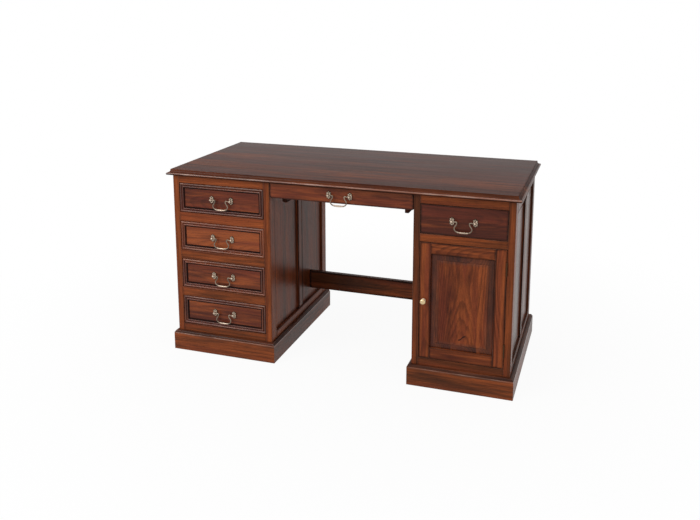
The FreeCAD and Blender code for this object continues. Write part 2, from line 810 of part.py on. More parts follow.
def make_shelf(inner):
    """The cabinet's loose shelf on four round pins. Gives the pin holes that the posts need."""
    pin_y = {"front": case_front + s.shelf_pin_inset, "back": case_back - s.shelf_pin_inset}
    pin_z = s.shelf_rise - s.shelf_pin_radius - s.shelf_pin_clearance
    pins, holes = [], {"front": [], "back": []}
    starts = (inner[0] - s.shelf_pin_depth, inner[1] + s.shelf_pin_depth - s.shelf_pin_length)
    for end, y in pin_y.items():
        for start in starts:
            pin = rod("shelf_pin", s.shelf_pin_radius, s.shelf_pin_length)
            pins.append(place(pin, start, y, pin_z, ACROSS))
            hole = rod("shelf_pin_hole", s.shelf_pin_radius + s.shelf_pin_clearance, s.shelf_pin_length)
            holes[end].append(place(hole, start, y, pin_z, ACROSS))
    shelf_x = grow(inner, -s.shelf_clearance)
    shelf_y = (case_front + s.shelf_setback, inside_back - s.shelf_clearance)
    shelf_z = (s.shelf_rise, s.shelf_rise + s.shelf_thickness)
    node("cabinet_shelf", board("cabinet_shelf", shelf_x, shelf_y, shelf_z))
    node("shelf_pins", group("shelf_pins", pins))
    return holes


def raised_outline(half, back):
    """The raised panel seen from one end: a tongue all round, a sloping border and a flat field."""
    tongue = back - s.door_tongue_thickness
    slope = tongue - s.door_bevel_rise
    field = slope - s.door_field_step
    rim = half + s.door_tongue
    field_half = half - s.door_bevel_width
    return [
        (-rim, back),
        (-rim, tongue),
        (-half, tongue),
        (-field_half, slope),
        (-field_half, field),
        (field_half, field),
        (field_half, slope),
        (half, tongue),
        (rim, tongue),
        (rim, back),
    ]


def make_door_panel(x, z, back):
    """The fielded panel, with the same outline both ways, and the groove that holds its tongue."""
    half_x = (x[1] - x[0]) / 2
    half_z = (z[1] - z[0]) / 2
    across = outline("door_panel_across", "XY", raised_outline(half_x, back))
    upright = outline("door_panel_upright", "YZ", [(d, a) for a, d in raised_outline(half_z, back)])
    columns = extrude("door_panel_columns", across, ALONG_Z, (half_z + s.door_tongue) * 2, True)
    rows = extrude("door_panel_rows", upright, ALONG_X, (half_x + s.door_tongue) * 2, True)
    panel = common("door_panel", columns, rows)
    node("door_panel", place(panel, (x[0] + x[1]) / 2, ZERO, (z[0] + z[1]) / 2))
    return board(
        "door_groove",
        grow(x, s.door_tongue + s.groove_clearance),
        grow((back - s.door_tongue_thickness, back), s.groove_clearance),
        grow(z, s.door_tongue + s.groove_clearance),
    )


def make_hinges(edge, post, door_z):
    """Two butt hinges between the door's edge and the post, with their knuckles just before the face."""
    pin_x = (edge + post) / 2
    pin_y = case_front - s.hinge_knuckle_radius - s.hinge_face_gap
    leaf_y = (case_front, case_front + s.hinge_leaf_depth)
    leaves = {
        "door": (edge, edge + s.hinge_leaf_thickness),
        "post": (post - s.hinge_leaf_thickness, post),
    }
    knuckle = s.hinge_length / HINGE_KNUCKLES
    made = {"door": [], "post": []}
    pins = []
    for middle in (door_z[0] + s.hinge_inset, door_z[1] - s.hinge_inset):
        low = middle - s.hinge_length / 2
        knuckles = {
            "post": ((low, low + knuckle), (low + knuckle * 2, low + s.hinge_length)),
            "door": (grow((low + knuckle, low + knuckle * 2), -s.hinge_knuckle_gap),),
        }
        bore = rod("hinge_bore", s.hinge_pin_radius + s.hinge_pin_clearance, s.hinge_length + s.overrun * 2)
        place(bore, pin_x, pin_y, low - s.overrun)
        for owner, x in leaves.items():
            parts = [board(f"hinge_{owner}_leaf", x, leaf_y, (low, low + s.hinge_length))]
            for z in knuckles[owner]:
                parts.append(board(f"hinge_{owner}_tab", x, (pin_y, case_front), z))
                barrel = rod(f"hinge_{owner}_knuckle", s.hinge_knuckle_radius, z[1] - z[0])
                parts.append(place(barrel, pin_x, pin_y, z[0]))
            made[owner].append(cut(f"hinge_{owner}", fuse(f"hinge_{owner}_blank", parts), bore))
        pin = rod("hinge_pin", s.hinge_pin_radius, s.hinge_length)
        pins.append(place(pin, pin_x, pin_y, low))
    node("hinge_door_leaves", group("hinge_door_leaves", made["door"]))
    node("hinge_post_leaves", group("hinge_post_leaves", made["post"]))
    node("hinge_pins", group("hinge_pins", pins))


def make_knob(x, z):
    """The turned knob: a rose against the door, a neck and a head with a ball's crown, centred on its axis."""
    crown = s.knob_length - s.knob_widest
    crown_radius = (s.knob_radius * s.knob_radius + crown * crown) / (crown * 2)
    profile = [
        (ZERO, ZERO),
        (s.knob_rose_radius, ZERO),
        (s.knob_rose_radius, s.knob_rose_thickness),
        (s.knob_neck_radius, s.knob_rose_thickness),
        (s.knob_neck_radius, s.knob_neck_length),
        (s.knob_radius, s.knob_widest, s.knob_under_radius, COUNTERCLOCKWISE),
        (ZERO, s.knob_length, crown_radius, COUNTERCLOCKWISE),
    ]
    node("door_knob", place(turned("door_knob", profile), x, case_front, z, FACING_FRONT))


def make_door(inner, opening):
    """The cabinet door: a grooved frame round a raised panel, with hinges, knob and catch."""
    x = grow(inner, -s.drawer_gap)
    z = grow(opening, -s.drawer_gap)
    door_back = case_front + s.door_thickness
    y = (case_front, door_back)
    panel_x = grow(x, -s.door_stile)
    panel_z = grow(z, -s.door_rail)
    groove = make_door_panel(panel_x, panel_z, door_back - s.door_panel_back)
    stiles = [
        cut("door_stile", board("door_stile_blank", side, y, z), groove)
        for side in ((x[0], panel_x[0]), (panel_x[1], x[1]))
    ]
    rails = [
        cut("door_rail", board("door_rail_blank", panel_x, y, level), groove)
        for level in ((z[0], panel_z[0]), (panel_z[1], z[1]))
    ]
    node("door_stiles", group("door_stiles", stiles))
    node("door_rails", group("door_rails", rails))
    make_hinges(x[1], inner[1], z)
    make_knob(x[0] + s.knob_inset, (z[0] + z[1]) / 2)

    catch_high = opening[1] - s.catch_drop
    catch_z = (catch_high - s.catch_height, catch_high)
    plate_y = (door_back, door_back + s.catch_plate_thickness)
    catch_front = plate_y[1] + s.catch_air_gap
    catch_x = (inner[0], inner[0] + s.catch_width)
    catch = board("door_catch", catch_x, (catch_front, catch_front + s.catch_depth), catch_z)
    node("door_catch", catch)
    plate_x = (x[0] + s.drawer_gap, catch_x[1])
    node("catch_plate", board("catch_plate", plate_x, plate_y, catch_z))


def make_right_pedestal():
    """The right pedestal: a plain drawer over the cabinet."""
    west, east = kneehole_right, case_right
    inner = (west + s.post_width, east - s.post_width)
    drawer_high = case_top - s.right_top_rail
    drawer_low = drawer_high - s.right_drawer_height - s.drawer_gap * 2
    door_high = drawer_low - s.right_middle_rail
    door_low = s.plinth_height + s.right_bottom_rail
    rails = [(drawer_high, case_top), (door_high, drawer_low), (s.plinth_height, door_low)]
    holes = make_shelf(inner)
    make_pedestal("right", west, east, rails, [drawer_low], door_low, holes)
    make_case_drawer("right_drawer", inner, (drawer_low, drawer_high), moulded=False)
    make_door(inner, (door_low, door_high))


def check_and_write():
    """Stops on any failed object or bad shape, then writes each sub-part to its own file."""
    doc.recompute()
    for item in doc.Objects:
        if {"Invalid", "Error"} & set(item.State):
            raise RuntimeError(f"{item.Label} failed: {item.State}")
    for piece in nodes:
        if piece.Shape.isNull() or not piece.Shape.isValid():
            raise RuntimeError(f"{piece.Label} has no valid shape")
    os.makedirs("parts", exist_ok=True)
    for piece in nodes:
        piece.Shape.exportStep(os.path.join("parts", piece.Label + ".step"))
        print(f"{piece.Label}: {len(piece.Shape.Solids)} solids, {piece.Shape.Volume:.0f} mm3")
    print(f"{len(nodes)} sub-parts")


make_top()
make_left_pedestal()
make_centre()
make_right_pedestal()
check_and_write()
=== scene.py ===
"""A dark hardwood pedestal desk, dressed over its frame.

Every wooden piece is rebuilt as eased boards and carried mouldings, under a figured, lacquered wood that
follows each board's own length. Handles and knob are shaped in aged brass. Lengths are metres, in the
frame's own axes: +X to the right seen from the front, +Y to the back, +Z up.
"""

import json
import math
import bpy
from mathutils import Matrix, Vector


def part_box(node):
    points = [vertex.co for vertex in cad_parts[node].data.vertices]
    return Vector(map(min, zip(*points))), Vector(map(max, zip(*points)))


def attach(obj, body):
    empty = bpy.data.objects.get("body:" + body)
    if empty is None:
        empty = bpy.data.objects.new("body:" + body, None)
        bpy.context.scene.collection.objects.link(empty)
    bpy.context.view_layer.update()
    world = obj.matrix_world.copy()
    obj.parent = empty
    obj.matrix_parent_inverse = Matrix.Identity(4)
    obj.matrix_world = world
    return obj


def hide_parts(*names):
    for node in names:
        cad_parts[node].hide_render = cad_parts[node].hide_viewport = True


bl_info = {
    "name": "Pedestal desk",
    "version": (1, 0, 0),
    "blender": (4, 5, 0),
    "location": "3D View > Sidebar > Desk",
    "description": "Dresses a pedestal desk's frame in eased boards, mouldings, lacquered wood and brass",
    "category": "Object",
}

import bpy
import numpy as np
from bpy.props import FloatProperty, FloatVectorProperty, PointerProperty
from bpy.types import Operator, Panel, PropertyGroup

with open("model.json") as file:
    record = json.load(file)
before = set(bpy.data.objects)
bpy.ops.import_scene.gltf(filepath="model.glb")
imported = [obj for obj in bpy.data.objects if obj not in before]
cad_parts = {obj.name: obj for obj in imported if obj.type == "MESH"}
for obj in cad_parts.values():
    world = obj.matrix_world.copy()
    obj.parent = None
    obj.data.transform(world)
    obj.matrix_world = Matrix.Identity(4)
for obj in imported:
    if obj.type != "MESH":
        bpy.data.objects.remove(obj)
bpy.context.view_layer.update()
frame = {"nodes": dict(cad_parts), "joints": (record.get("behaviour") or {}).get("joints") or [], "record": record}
RECORD = frame["record"]
BODY_OF = {node: body for body, nodes in RECORD["behaviour"]["bodies"].items() for node in nodes}
SLOT_OF = {row["node"]: row["material_slot"] for row in RECORD["subparts"]}
HINGES = [joint for joint in frame["joints"] if joint["type"] == "hinge"]
PIVOT_OF = {hinge["child"]: np.array(hinge["pos_m"]) for hinge in HINGES}

SIDES = ("left", "right")
DRAWERS = (*(f"left_drawer_{number}" for number in (1, 2, 3, 4)), "right_drawer", "centre_drawer")

X, Y, Z = np.eye(3)
FRONT = -Y
# Points closer than this are one point, and a shorter normal than the second has no direction
WELD = 1e-5
TINY = 1e-12
# The values painted on a mesh, which Shape explains
PAINTS = ("tone", "wear", "rim", "polish")

# Steps of a rounded edge, and the most of a straight edge or of a thin board's half thickness that the
# rounding takes up
EASE_STEPS = 3
EASE_LIMIT = 0.45
THIN_LIMIT = 0.3
# How far the darker rim, of gathered stain and painted shade, reaches in from the edges of most
# boards, of posts and of panels, and the most of a side's flat half and of its whole half that it takes up
RIM_WIDTH = 0.006
POST_RIM = 0.010
PANEL_RIM = 0.028
RIM_OF_FLAT = 0.8
RIM_OF_HALF = 0.4
# How much a board's edges are rubbed lighter, with a painted highlight along them
EDGE_WEAR_AND_HIGHLIGHT = 0.5
# How much stain and painted shade lie along the edges of boards that meet flush, and of boards that
# stand back
FLUSH_STAIN_AND_SHADE = 0.4
DEEP_STAIN_AND_SHADE = 1.5
# How light a board's stain came out, darker below 0 and more orange above it, for all of a node's boards
# or for each one from the top down
BOARD_TONES = {
    "left_drawer_1_front": -0.4,
    "left_drawer_2_front": 0.95,
    "left_drawer_3_front": 0.1,
    "left_drawer_4_front": -0.1,
    "right_drawer_front": -1.5,
    "centre_drawer_front": 0.1,
    "door_stiles": 0.9,
    "door_rails": (0.7, 0.2),
    "left_front_rails": (0.4, 0.85, 0.35, 0.5, -0.7),
    "right_front_rails": (0.5, 0.45, -0.5),
    "left_posts": 0.55,
    "right_posts": -0.4,
    "stretcher": -0.75,
    "right_side_panels": -1.2,
    "right_side_rails": -0.6,
    "left_muntins": -0.3,
    "right_muntins": -0.8,
}
# The hangers' tone, near black: painted shade under the top
HANGER_SHADE_TONE = -1.6
# How far boards of one tone differ
TONE_SPREAD = 0.14
# How much lacquer is left on the panels of each pedestal
PANEL_POLISH = {"left": 0.0, "right": 0.16}
# A plinth's boards in turn: front, right, back, left
PLINTH_TONES = {"left": (0.15, -0.9, -0.4, -0.3), "right": (-0.05, -0.9, -0.4, -0.4)}
# The left drawers' moulding: how much darker than the front it is, and how much painted highlight along
# its crests each strip has in turn, more on the top and bottom ones
MOULDING_DARKER = 0.5
MOULDING_HIGHLIGHTS = (0.8, 0.2, 0.8, 0.1)
# Planks of the glued slabs: where each one ends across the slab, how many plank widths its tree's heart
# lies off its middle, and its tone
TOP_PLANKS = (
    (0.16, 1.2, -0.5),
    (0.31, -0.8, -0.5),
    (0.50, 0.6, -0.9),
    (0.66, -1.3, -0.8),
    (0.83, 0.9, -1.2),
    (1.00, -0.5, -1.2),
)
DOOR_PLANKS = ((0.35, -0.9, 0.05), (0.73, 0.05, 0.35), (1.00, 0.8, 0.2))
# How far a slab's tree leans through its planks, as a slope
TOP_LEAN = 0.01
DOOR_LEAN = 0.12
# How much more lacquer the top keeps at the back than at the front, and how much of the edge's lighter
# tone, worn lightening with its painted highlight, and polish its ends have
TOP_SHINE = 0.13
TOP_END_WEAR_AND_HIGHLIGHT = 0.2
# The part of a tree that a board comes from, at least and at most: metres along the tree, board widths
# off its heart and metres in front of it
TREE = np.array([(0, -0.3, 0), (40, 0.3, 0.02)])

boards_drawn = np.random.default_rng(11)


# What a user would change


def number(name, description, default, **kind):
    """A number for the user to set; kind is its unit or subtype."""
    return FloatProperty(name=name, description=description, default=default, **kind)


def metres(name, description, default):
    """A length for the user to set."""
    return number(name, description, default, unit="LENGTH")


def tint(name, description, default):
    """A colour for the user to set."""
    return FloatVectorProperty(name=name, description=description, default=default, subtype="COLOR")


class DeskSizes(PropertyGroup):
    """The sizes of edges, mouldings and fittings."""

    edge_ease: metres("Edge ease", "Radius of the boards' rounded edges", 0.0014)
    top_edge_width: metres("Top edge width", "How far the top's moulded edge reaches in", 0.013)
    lip_height: metres("Lip height", "Height of the rounded lip", 0.009)
    lip_radius: metres("Lip radius", "Radius of the lip's edges", 0.0035)
    lip_step: metres("Lip step", "Width of the lip under the cove", 0.005)
    cove_radius: metres("Cove radius", "Radius of the top's cove", 0.011)
    plinth_step: metres("Plinth step", "Ledge under the plinth's moulding", 0.002)
    plinth_moulding: metres("Plinth moulding", "Height of the plinth's moulding", 0.010)
    moulding_width: metres("Moulding width", "Width of the left drawers' moulding", 0.022)
    box_board: metres("Box board", "Thickness of the drawers' sides", 0.012)
    box_bottom: metres("Box bottom", "Thickness of the drawers' bottoms", 0.006)
    box_bottom_rise: metres("Bottom rise", "Room under the drawers' bottoms", 0.008)
    hanger_board: metres("Hanger board", "Thickness of the hangers", 0.020)
    hanger_chamfer: metres("Hanger chamfer", "Slant at the hangers' foot", 0.006)
    hanger_ledge: metres("Hanger ledge", "Height of the ledge under the drawer", 0.015)
    door_bevel: metres("Door bevel", "Width of the door panel's border", 0.023)
    rosette_width: metres("Rosette width", "Width of a handle's rosette", 0.022)
    wire_radius: metres("Bail radius", "Radius of the bails' wire", 0.0025)


class DeskFinishes(PropertyGroup):
    """The colours of wood and metal."""

    deep_wood: tint("Deep wood", "Darkest boards", (0.085, 0.0172, 0.008))
    side_wood: tint("Side wood", "Darkest boards of the cases", (0.088, 0.027, 0.0105))
    warm_wood: tint("Warm wood", "Lightest boards", (0.335, 0.081, 0.022))
    red_wood: tint("Red wood", "Flushes of red stain", (0.18, 0.034, 0.016))
    top_brown: tint("Top brown", "Brown under the top's stain", (0.022, 0.016, 0.012))
    # The darkest colour, also painted as shade at rims, in recesses and grooves
    vein: tint("Vein", "Dark growth lines", (0.014, 0.004, 0.003))
    # Also the colour of painted highlights along crests, lips and ledges
    rubbed_edge: tint("Rubbed edge", "Edges worn lighter", (0.42, 0.26, 0.20))
    bare_wood: tint("Bare wood", "Boards inside the desk", (0.30, 0.16, 0.075))
    brass: tint("Aged brass", "Handles, where rubbed", (0.45, 0.352, 0.268))
    patina: tint("Patina", "Handles, in the hollows", (0.040, 0.031, 0.021))
    bright_brass: tint("Bright brass", "The door's knob", (0.64, 0.49, 0.28))
    hinge_metal: tint("Hinge metal", "Browned hinges", (0.16, 0.085, 0.045))


class DeskStage(PropertyGroup):
    """Where the camera stands, and the light."""

    camera_place: FloatVectorProperty(
        name="Camera place",
        description="The camera's eye",
        default=(0.9907, -3.04598, 1.44512),
        subtype="TRANSLATION",
        unit="LENGTH",
    )
    camera_yaw: number("Yaw", "Turn to the left", math.radians(18.63), subtype="ANGLE")
    camera_pitch: number("Pitch", "Tilt down", math.radians(10.84), subtype="ANGLE")
    lens: number("Lens", "Focal length in mm", 41.143)
    lens_shift: number("Shift", "Upward shift of the picture, as a share", -0.16)
    sky_strength: number("Sky strength", "Soft light from all round", 0.42)
    key_power: number("Key power", "Large soft lamp, front left", 95.0, unit="POWER")
    fill_power: number("Fill power", "Soft lamp overhead", 30.0, unit="POWER")


# Arrays that become meshes


class Shape:
    """Points, faces and painted values of a piece, as whole arrays.

    quads and caps index the points. grain is each point's place in its own board: along, across and
    through it. solid numbers the separate solids, which are never welded to each other. Four values are
    painted: tone is the board's lightness, wear is 1 where an edge is rubbed lighter or a relief stands
    high, and also where a highlight is painted along a crest, lip or ledge, rim is 1 where the stain
    gathers and also where shade is painted into recesses, grooves and under overhangs, more where it
    fills a corner, and polish is 1 where the lacquer lies thick.
    """

    def __init__(self, points, quads, caps=(), grain=None, solid=0, **painted):
        count = len(points)
        self.points = points
        self.quads = quads
        self.caps = list(caps)
        self.grain = points if grain is None else grain
        self.solid = np.broadcast_to(np.asarray(solid, int), count)
        self.painted = {name: np.broadcast_to(painted.get(name, 0.0), count) for name in PAINTS}


def join(shapes, one_solid=False):
    """Several shapes as one, as sheets of one solid or as solids side by side."""
    starts = np.cumsum([0] + [len(shape.points) for shape in shapes])
    numbers = np.cumsum([0] + [0 if one_solid else shape.solid.max() + 1 for shape in shapes])
    return Shape(
        np.concatenate([shape.points for shape in shapes]),
        np.concatenate([shape.quads + start for shape, start in zip(shapes, starts)]),
        [cap + start for shape, start in zip(shapes, starts) for cap in shape.caps],
        np.concatenate([shape.grain for shape in shapes]),
        np.concatenate([shape.solid + first for shape, first in zip(shapes, numbers)]),
        **{name: np.concatenate([shape.painted[name] for shape in shapes]) for name in PAINTS},
    )


def outward(shape):
    """The same closed shape with its faces turned outwards, which makes its signed volume positive."""
    a, b, c, d = (shape.points[shape.quads[:, corner]] for corner in range(4))
    volume = np.sum(a * (np.cross(b, c) + np.cross(c, d)))
    for cap in shape.caps:
        ring = shape.points[cap]
        volume += np.sum(ring.mean(0) * np.cross(ring, np.roll(ring, -1, 0)))
    if volume < 0:
        shape.quads = shape.quads[:, ::-1]
        shape.caps = [cap[::-1] for cap in shape.caps]
    return shape


def point_normals(shape):
    """Each point's normal: the sum of its faces' normals, in which larger faces count more."""
    a, b, c, d = (shape.points[shape.quads[:, corner]] for corner in range(4))
    face_normals = np.cross(c - a, d - b)
    normals = np.zeros_like(shape.points)
    for corner in range(4):
        np.add.at(normals, shape.quads[:, corner], face_normals)
    for cap in shape.caps:
        ring = shape.points[cap]
        normals[cap] += np.cross(ring, np.roll(ring, -1, 0)).sum(0)
    return normals / np.maximum(np.linalg.norm(normals, axis=1, keepdims=True), TINY)


def make_object(name, shape, material):
    """A mesh object from a shape.

    Equal points of a solid are welded, and normals and painted values are kept by corner.
    """
    normals = point_normals(shape)
    keys = np.column_stack([shape.solid, np.round(shape.points / WELD)])
    _, kept, welded = np.unique(keys, axis=0, return_index=True, return_inverse=True)
    welded = welded.ravel()
    corners = welded[shape.quads]
    pinched = corners == np.roll(corners, -1, 1)
    quads = shape.quads[pinched.sum(1) == 0]
    narrow = pinched.sum(1) == 1
    triangles = shape.quads[narrow][~pinched[narrow]].reshape(-1, 3)
    caps = [cap[welded[cap] != welded[np.roll(cap, -1)]] for cap in shape.caps]
    faces = [*quads, *triangles, *caps]
    loops = np.concatenate(faces)
    mesh = bpy.data.meshes.new(name)
    numbered = [welded[face].tolist() for face in faces]
    mesh.from_pydata(shape.points[kept].tolist(), [], numbered, shade_flat=False)
    layer = mesh.attributes.new("grain", "FLOAT_VECTOR", "CORNER")
    layer.data.foreach_set("vector", np.ascontiguousarray(shape.grain[loops], np.float32).ravel())
    for label, values in shape.painted.items():
        layer = mesh.attributes.new(label, "FLOAT", "CORNER")
        layer.data.foreach_set("value", np.ascontiguousarray(values[loops], np.float32))
    mesh.normals_split_custom_set(normals[loops].tolist())
    mesh.materials.append(material)
    piece = bpy.data.objects.new(name, mesh)
    bpy.context.scene.collection.objects.link(piece)
    return piece


def dress(node, shape):
    """Puts a finished shape in a node's place: on the node's body, with its slot's finish or its own."""
    piece = make_object(f"{node}_made", shape, finish_for(node))
    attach(piece, BODY_OF[node])
    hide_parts(node)


def box_of(node):
    """The lowest and highest corners of a node, as arrays."""
    low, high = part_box(node)
    return np.array(low), np.array(high)


def back_middle(low, high):
    """The middle of a box's back face."""
    return np.array([(low[0] + high[0]) / 2, high[1], (low[2] + high[2]) / 2])


def solid_boxes(node):
    """The lowest and highest corners of each separate solid of a node, largest solid first.

    Points in one place share a number, and every triangle passes the lowest number of its corners on
    until nothing changes.
    """
    mesh = frame["nodes"][node].data
    points = np.zeros(len(mesh.vertices) * 3)
    mesh.vertices.foreach_get("co", points)
    points = points.reshape(-1, 3)
    mesh.calc_loop_triangles()
    triangles = np.zeros(len(mesh.loop_triangles) * 3, int)
    mesh.loop_triangles.foreach_get("vertices", triangles)
    _, places = np.unique(np.round(points / WELD), axis=0, return_inverse=True)
    places = places.ravel()
    triangles = places[triangles.reshape(-1, 3)]
    labels = np.arange(places.max() + 1)
    settled = False
    while not settled:
        lowest = labels[triangles].min(1)
        passed = labels.copy()
        np.minimum.at(passed, triangles.ravel(), np.repeat(lowest, 3))
        settled = np.array_equal(passed, labels)
        labels = passed
    owner = labels[places]
    boxes = [(points[owner == n].min(0), points[owner == n].max(0)) for n in np.unique(owner)]
    return sorted(boxes, key=lambda box: -np.prod(box[1] - box[0]))


# Shapes worked out on grids


def carry(rings, caps=(True, True), **painted):
    """A tube of quads through rings of points, an array (stations, points round, 3), with flat end caps.

    A cap has points of its own, so that the tube's shading doesn't turn at its rim.
    """
    stations, around = rings.shape[:2]
    index = np.arange(stations * around).reshape(stations, around)
    here, there = index[:-1], index[1:]
    quads = np.stack([here, np.roll(here, -1, 1), np.roll(there, -1, 1), there], -1).reshape(-1, 4)
    ends = [row for row, wanted in ((0, caps[0]), (stations - 1, caps[1])) if wanted]
    order = np.concatenate([index.ravel(), *(index[row] for row in ends)])
    faces = []
    for added, row in enumerate(ends, start=stations):
        ring = added * around + np.arange(around)
        faces.append(ring[::-1] if row == 0 else ring)
    points = rings.reshape(-1, 3)[order]
    painted = {name: values[order] if np.ndim(values) else values for name, values in painted.items()}
    return outward(Shape(points, quads, faces, **painted))


def sheet(points, **painted):
    """An open sheet of quads over a grid of points, an array (rows, columns, 3)."""
    rows, columns = points.shape[:2]
    index = np.arange(rows * columns).reshape(rows, columns)
    quads = np.stack([index[:-1, :-1], index[1:, :-1], index[1:, 1:], index[:-1, 1:]], -1).reshape(-1, 4)
    return Shape(points.reshape(-1, 3), quads, **painted)


def arc(start, end, radius, turn, steps=8):
    """Points on an arc from start to end, whose centre is left of the way for turn 1 and right for -1."""
    start, end = np.array(start, float), np.array(end, float)
    chord = end - start
    left = np.array([-chord[1], chord[0]]) / np.hypot(*chord)
    centre = (start + end) / 2 + left * turn * math.sqrt(radius**2 - chord @ chord / 4)
    first = math.atan2(*(start - centre)[::-1])
    last = math.atan2(*(end - centre)[::-1])
    sweep = turn * ((turn * (last - first)) % (2 * math.pi))
    angles = first + sweep * np.linspace(0, 1, steps + 1)
    return centre + radius * np.column_stack([np.cos(angles), np.sin(angles)])


def circle_angles(count):
    """Angles at even steps round a circle."""
    return np.linspace(0, 2 * np.pi, count, endpoint=False)


def bell(values, middle, width):
    """A soft swelling round a middle: e to the power of minus the squared distance in widths."""
    return np.exp(-(((values - middle) / width) ** 2))


def mirrored(values):
    """Values, and then the same ones backwards."""
    return np.concatenate([values, values[::-1]])


def eased_outline(corners, ease):
    """A closed outline with its corners eased: at each one a parabola from one edge to the next."""
    corners = np.asarray(corners, float)
    before = np.roll(corners, 1, 0) - corners
    after = np.roll(corners, -1, 0) - corners
    start, end = (
        corners + edge * np.minimum(ease / np.linalg.norm(edge, axis=1), EASE_LIMIT)[:, None]
        for edge in (before, after)
    )
    share = np.linspace(0, 1, EASE_STEPS + 1)[None, :, None]
    leaving = (1 - share) ** 2 * start[:, None]
    curve = leaving + 2 * share * (1 - share) * corners[:, None] + share**2 * end[:, None]
    return curve.reshape(-1, 2)


def painted_outline(*stretches):
    """An outline from stretches of points, each one followed by its tone, wear, rim and polish."""
    counts = [len(points) for points, *_ in stretches]
    outline = np.concatenate([np.asarray(points, float) for points, *_ in stretches])
    values = np.array([paint for _, *paint in stretches], float)
    return outline, dict(zip(PAINTS, np.repeat(values, counts, 0).T))


def board_grain(along, across, through):
    """A board's own grain coordinates, with a part of the tree drawn for it."""
    place = boards_drawn.uniform(*TREE)
    grain = along + place[0], across + place[1] * np.ptp(across), through + place[2]
    return np.stack(np.broadcast_arrays(*grain), -1).reshape(-1, 3)


def board_tone(tone):
    """A tone with a small part drawn for one board."""
    return tone + boards_drawn.uniform(-TONE_SPREAD, TONE_SPREAD)


def over_edges(values):
    """Values across a rounded edge, spread over all edges of a board, with 0 on its flat sides."""
    sides = np.tile(np.concatenate([[0], values, [0]]), 4)
    ends = mirrored(np.append(values, 0))
    return np.maximum(sides[None, :], ends[:, None]).ravel()


def board(low, high, ease, tone=0.0, along=None, rim_width=RIM_WIDTH, gathers=1.0, way=1, polish=0.0):
    """A board between two corners with eased edges.

    A rectangle with quarter-circle corners is carried along the board's length, and drawn in by
    ease * (1 - sine) at the ends while it moves out by ease * (1 - cosine). The rounded edges are rubbed
    lighter with a painted highlight. Beside every rounded edge one more row of points bounds the rim,
    and the argument after rim_width says how much stain and painted shade lie there. way is -1 for a
    board that was turned end for end, and polish is how much lacquer is left on it.
    """
    low, high = np.asarray(low, float), np.asarray(high, float)
    half, middle = (high - low) / 2, (high + low) / 2
    along = int(np.argmax(half)) if along is None else along
    first, second = (along + 1) % 3, (along + 2) % 3
    ease = min(ease, THIN_LIMIT * half.min())
    rim = np.minimum(rim_width, np.minimum(RIM_OF_FLAT * (half - 2 * ease), RIM_OF_HALF * half))
    quarter = np.linspace(0, np.pi / 2, EASE_STEPS + 1)
    inset = mirrored(ease * np.append(1 - np.sin(quarter), 0))
    start = np.append(ease * (1 - np.cos(quarter)), ease + rim[along]) - half[along]
    station = np.concatenate([start, -start[::-1]])
    corner = np.arange(4)
    bend = np.concatenate([quarter[:1], quarter, quarter[-1:]])
    turn = (corner[:, None] * np.pi / 2 + bend).ravel()
    flats = np.array([rim[second], rim[first]])
    slide = np.zeros((4, len(bend)))
    slide[:, 0] = -flats[corner % 2]
    slide[:, -1] = flats[(corner + 1) % 2]
    slide = slide.ravel()
    side_a = np.repeat([1, -1, -1, 1], len(bend))
    side_b = np.repeat([1, 1, -1, -1], len(bend))
    rings = np.zeros((len(station), len(turn), 3))
    rings[..., along] = station[:, None]
    straight_a, straight_b = (half[axis] - ease - inset[:, None] for axis in (first, second))
    rings[..., first] = side_a * straight_a + ease * np.cos(turn) - slide * np.sin(turn)
    rings[..., second] = side_b * straight_b + ease * np.sin(turn) + slide * np.cos(turn)
    wide, thin = (first, second) if half[first] > half[second] else (second, first)
    grain = board_grain(way * rings[..., along], rings[..., wide], rings[..., thin])
    # Rounded edges rubbed lighter with a painted highlight, and the rim beside them stained and shaded
    wear = EDGE_WEAR_AND_HIGHLIGHT * over_edges(np.sin(2 * quarter))
    stain = gathers * over_edges(np.ones_like(quarter))
    return carry(rings + middle, grain=grain, tone=board_tone(tone), wear=wear, rim=stain, polish=polish)


def length_of_section(section, axes, base, length, **painted):
    """A section carried straight: points (a, b) along two axes, from a base, over a length on the third."""
    side, up, way = axes
    ring = base + section[:, :1] * side + section[:, 1:] * up
    rings = np.stack([ring, ring + length * way])
    grain = board_grain(np.array([[0.0], [length]]), section[:, 1], section[:, 0])
    return carry(rings, grain=grain, **painted)


def frame_strips(corners, outs, up, section, paint, tones, rubbed=(1, 1, 1, 1)):
    """Four mitred strips round a rectangle.

    A section point (out, rise) lies at a corner + out * (the outward directions of the two sides that
    meet there) + rise * up, and each strip runs straight from its first corner to its second. paint
    holds the painted values of the section's points, and rubbed says how much of the worn lightening
    and painted highlight each side has.
    """
    out, rise = section[:, :1], section[:, 1:]
    painted = {name: np.tile(values, 2) for name, values in paint.items()}
    strips = []
    for side in range(4):
        following = (side + 1) % 4
        begin = corners[side] + out * (outs[side] + outs[side - 1]) + rise * up
        end = corners[following] + out * (outs[side] + outs[following]) + rise * up
        rings = np.stack([begin, end])
        way = corners[following] - corners[side]
        length = (rings - corners[side]) @ (way / np.linalg.norm(way))
        grain = board_grain(length, *section.T)
        own = {"tone": painted["tone"] + board_tone(tones[side]), "wear": painted["wear"] * rubbed[side]}
        strips.append(carry(rings, grain=grain, **{**painted, **own}))
    return strips


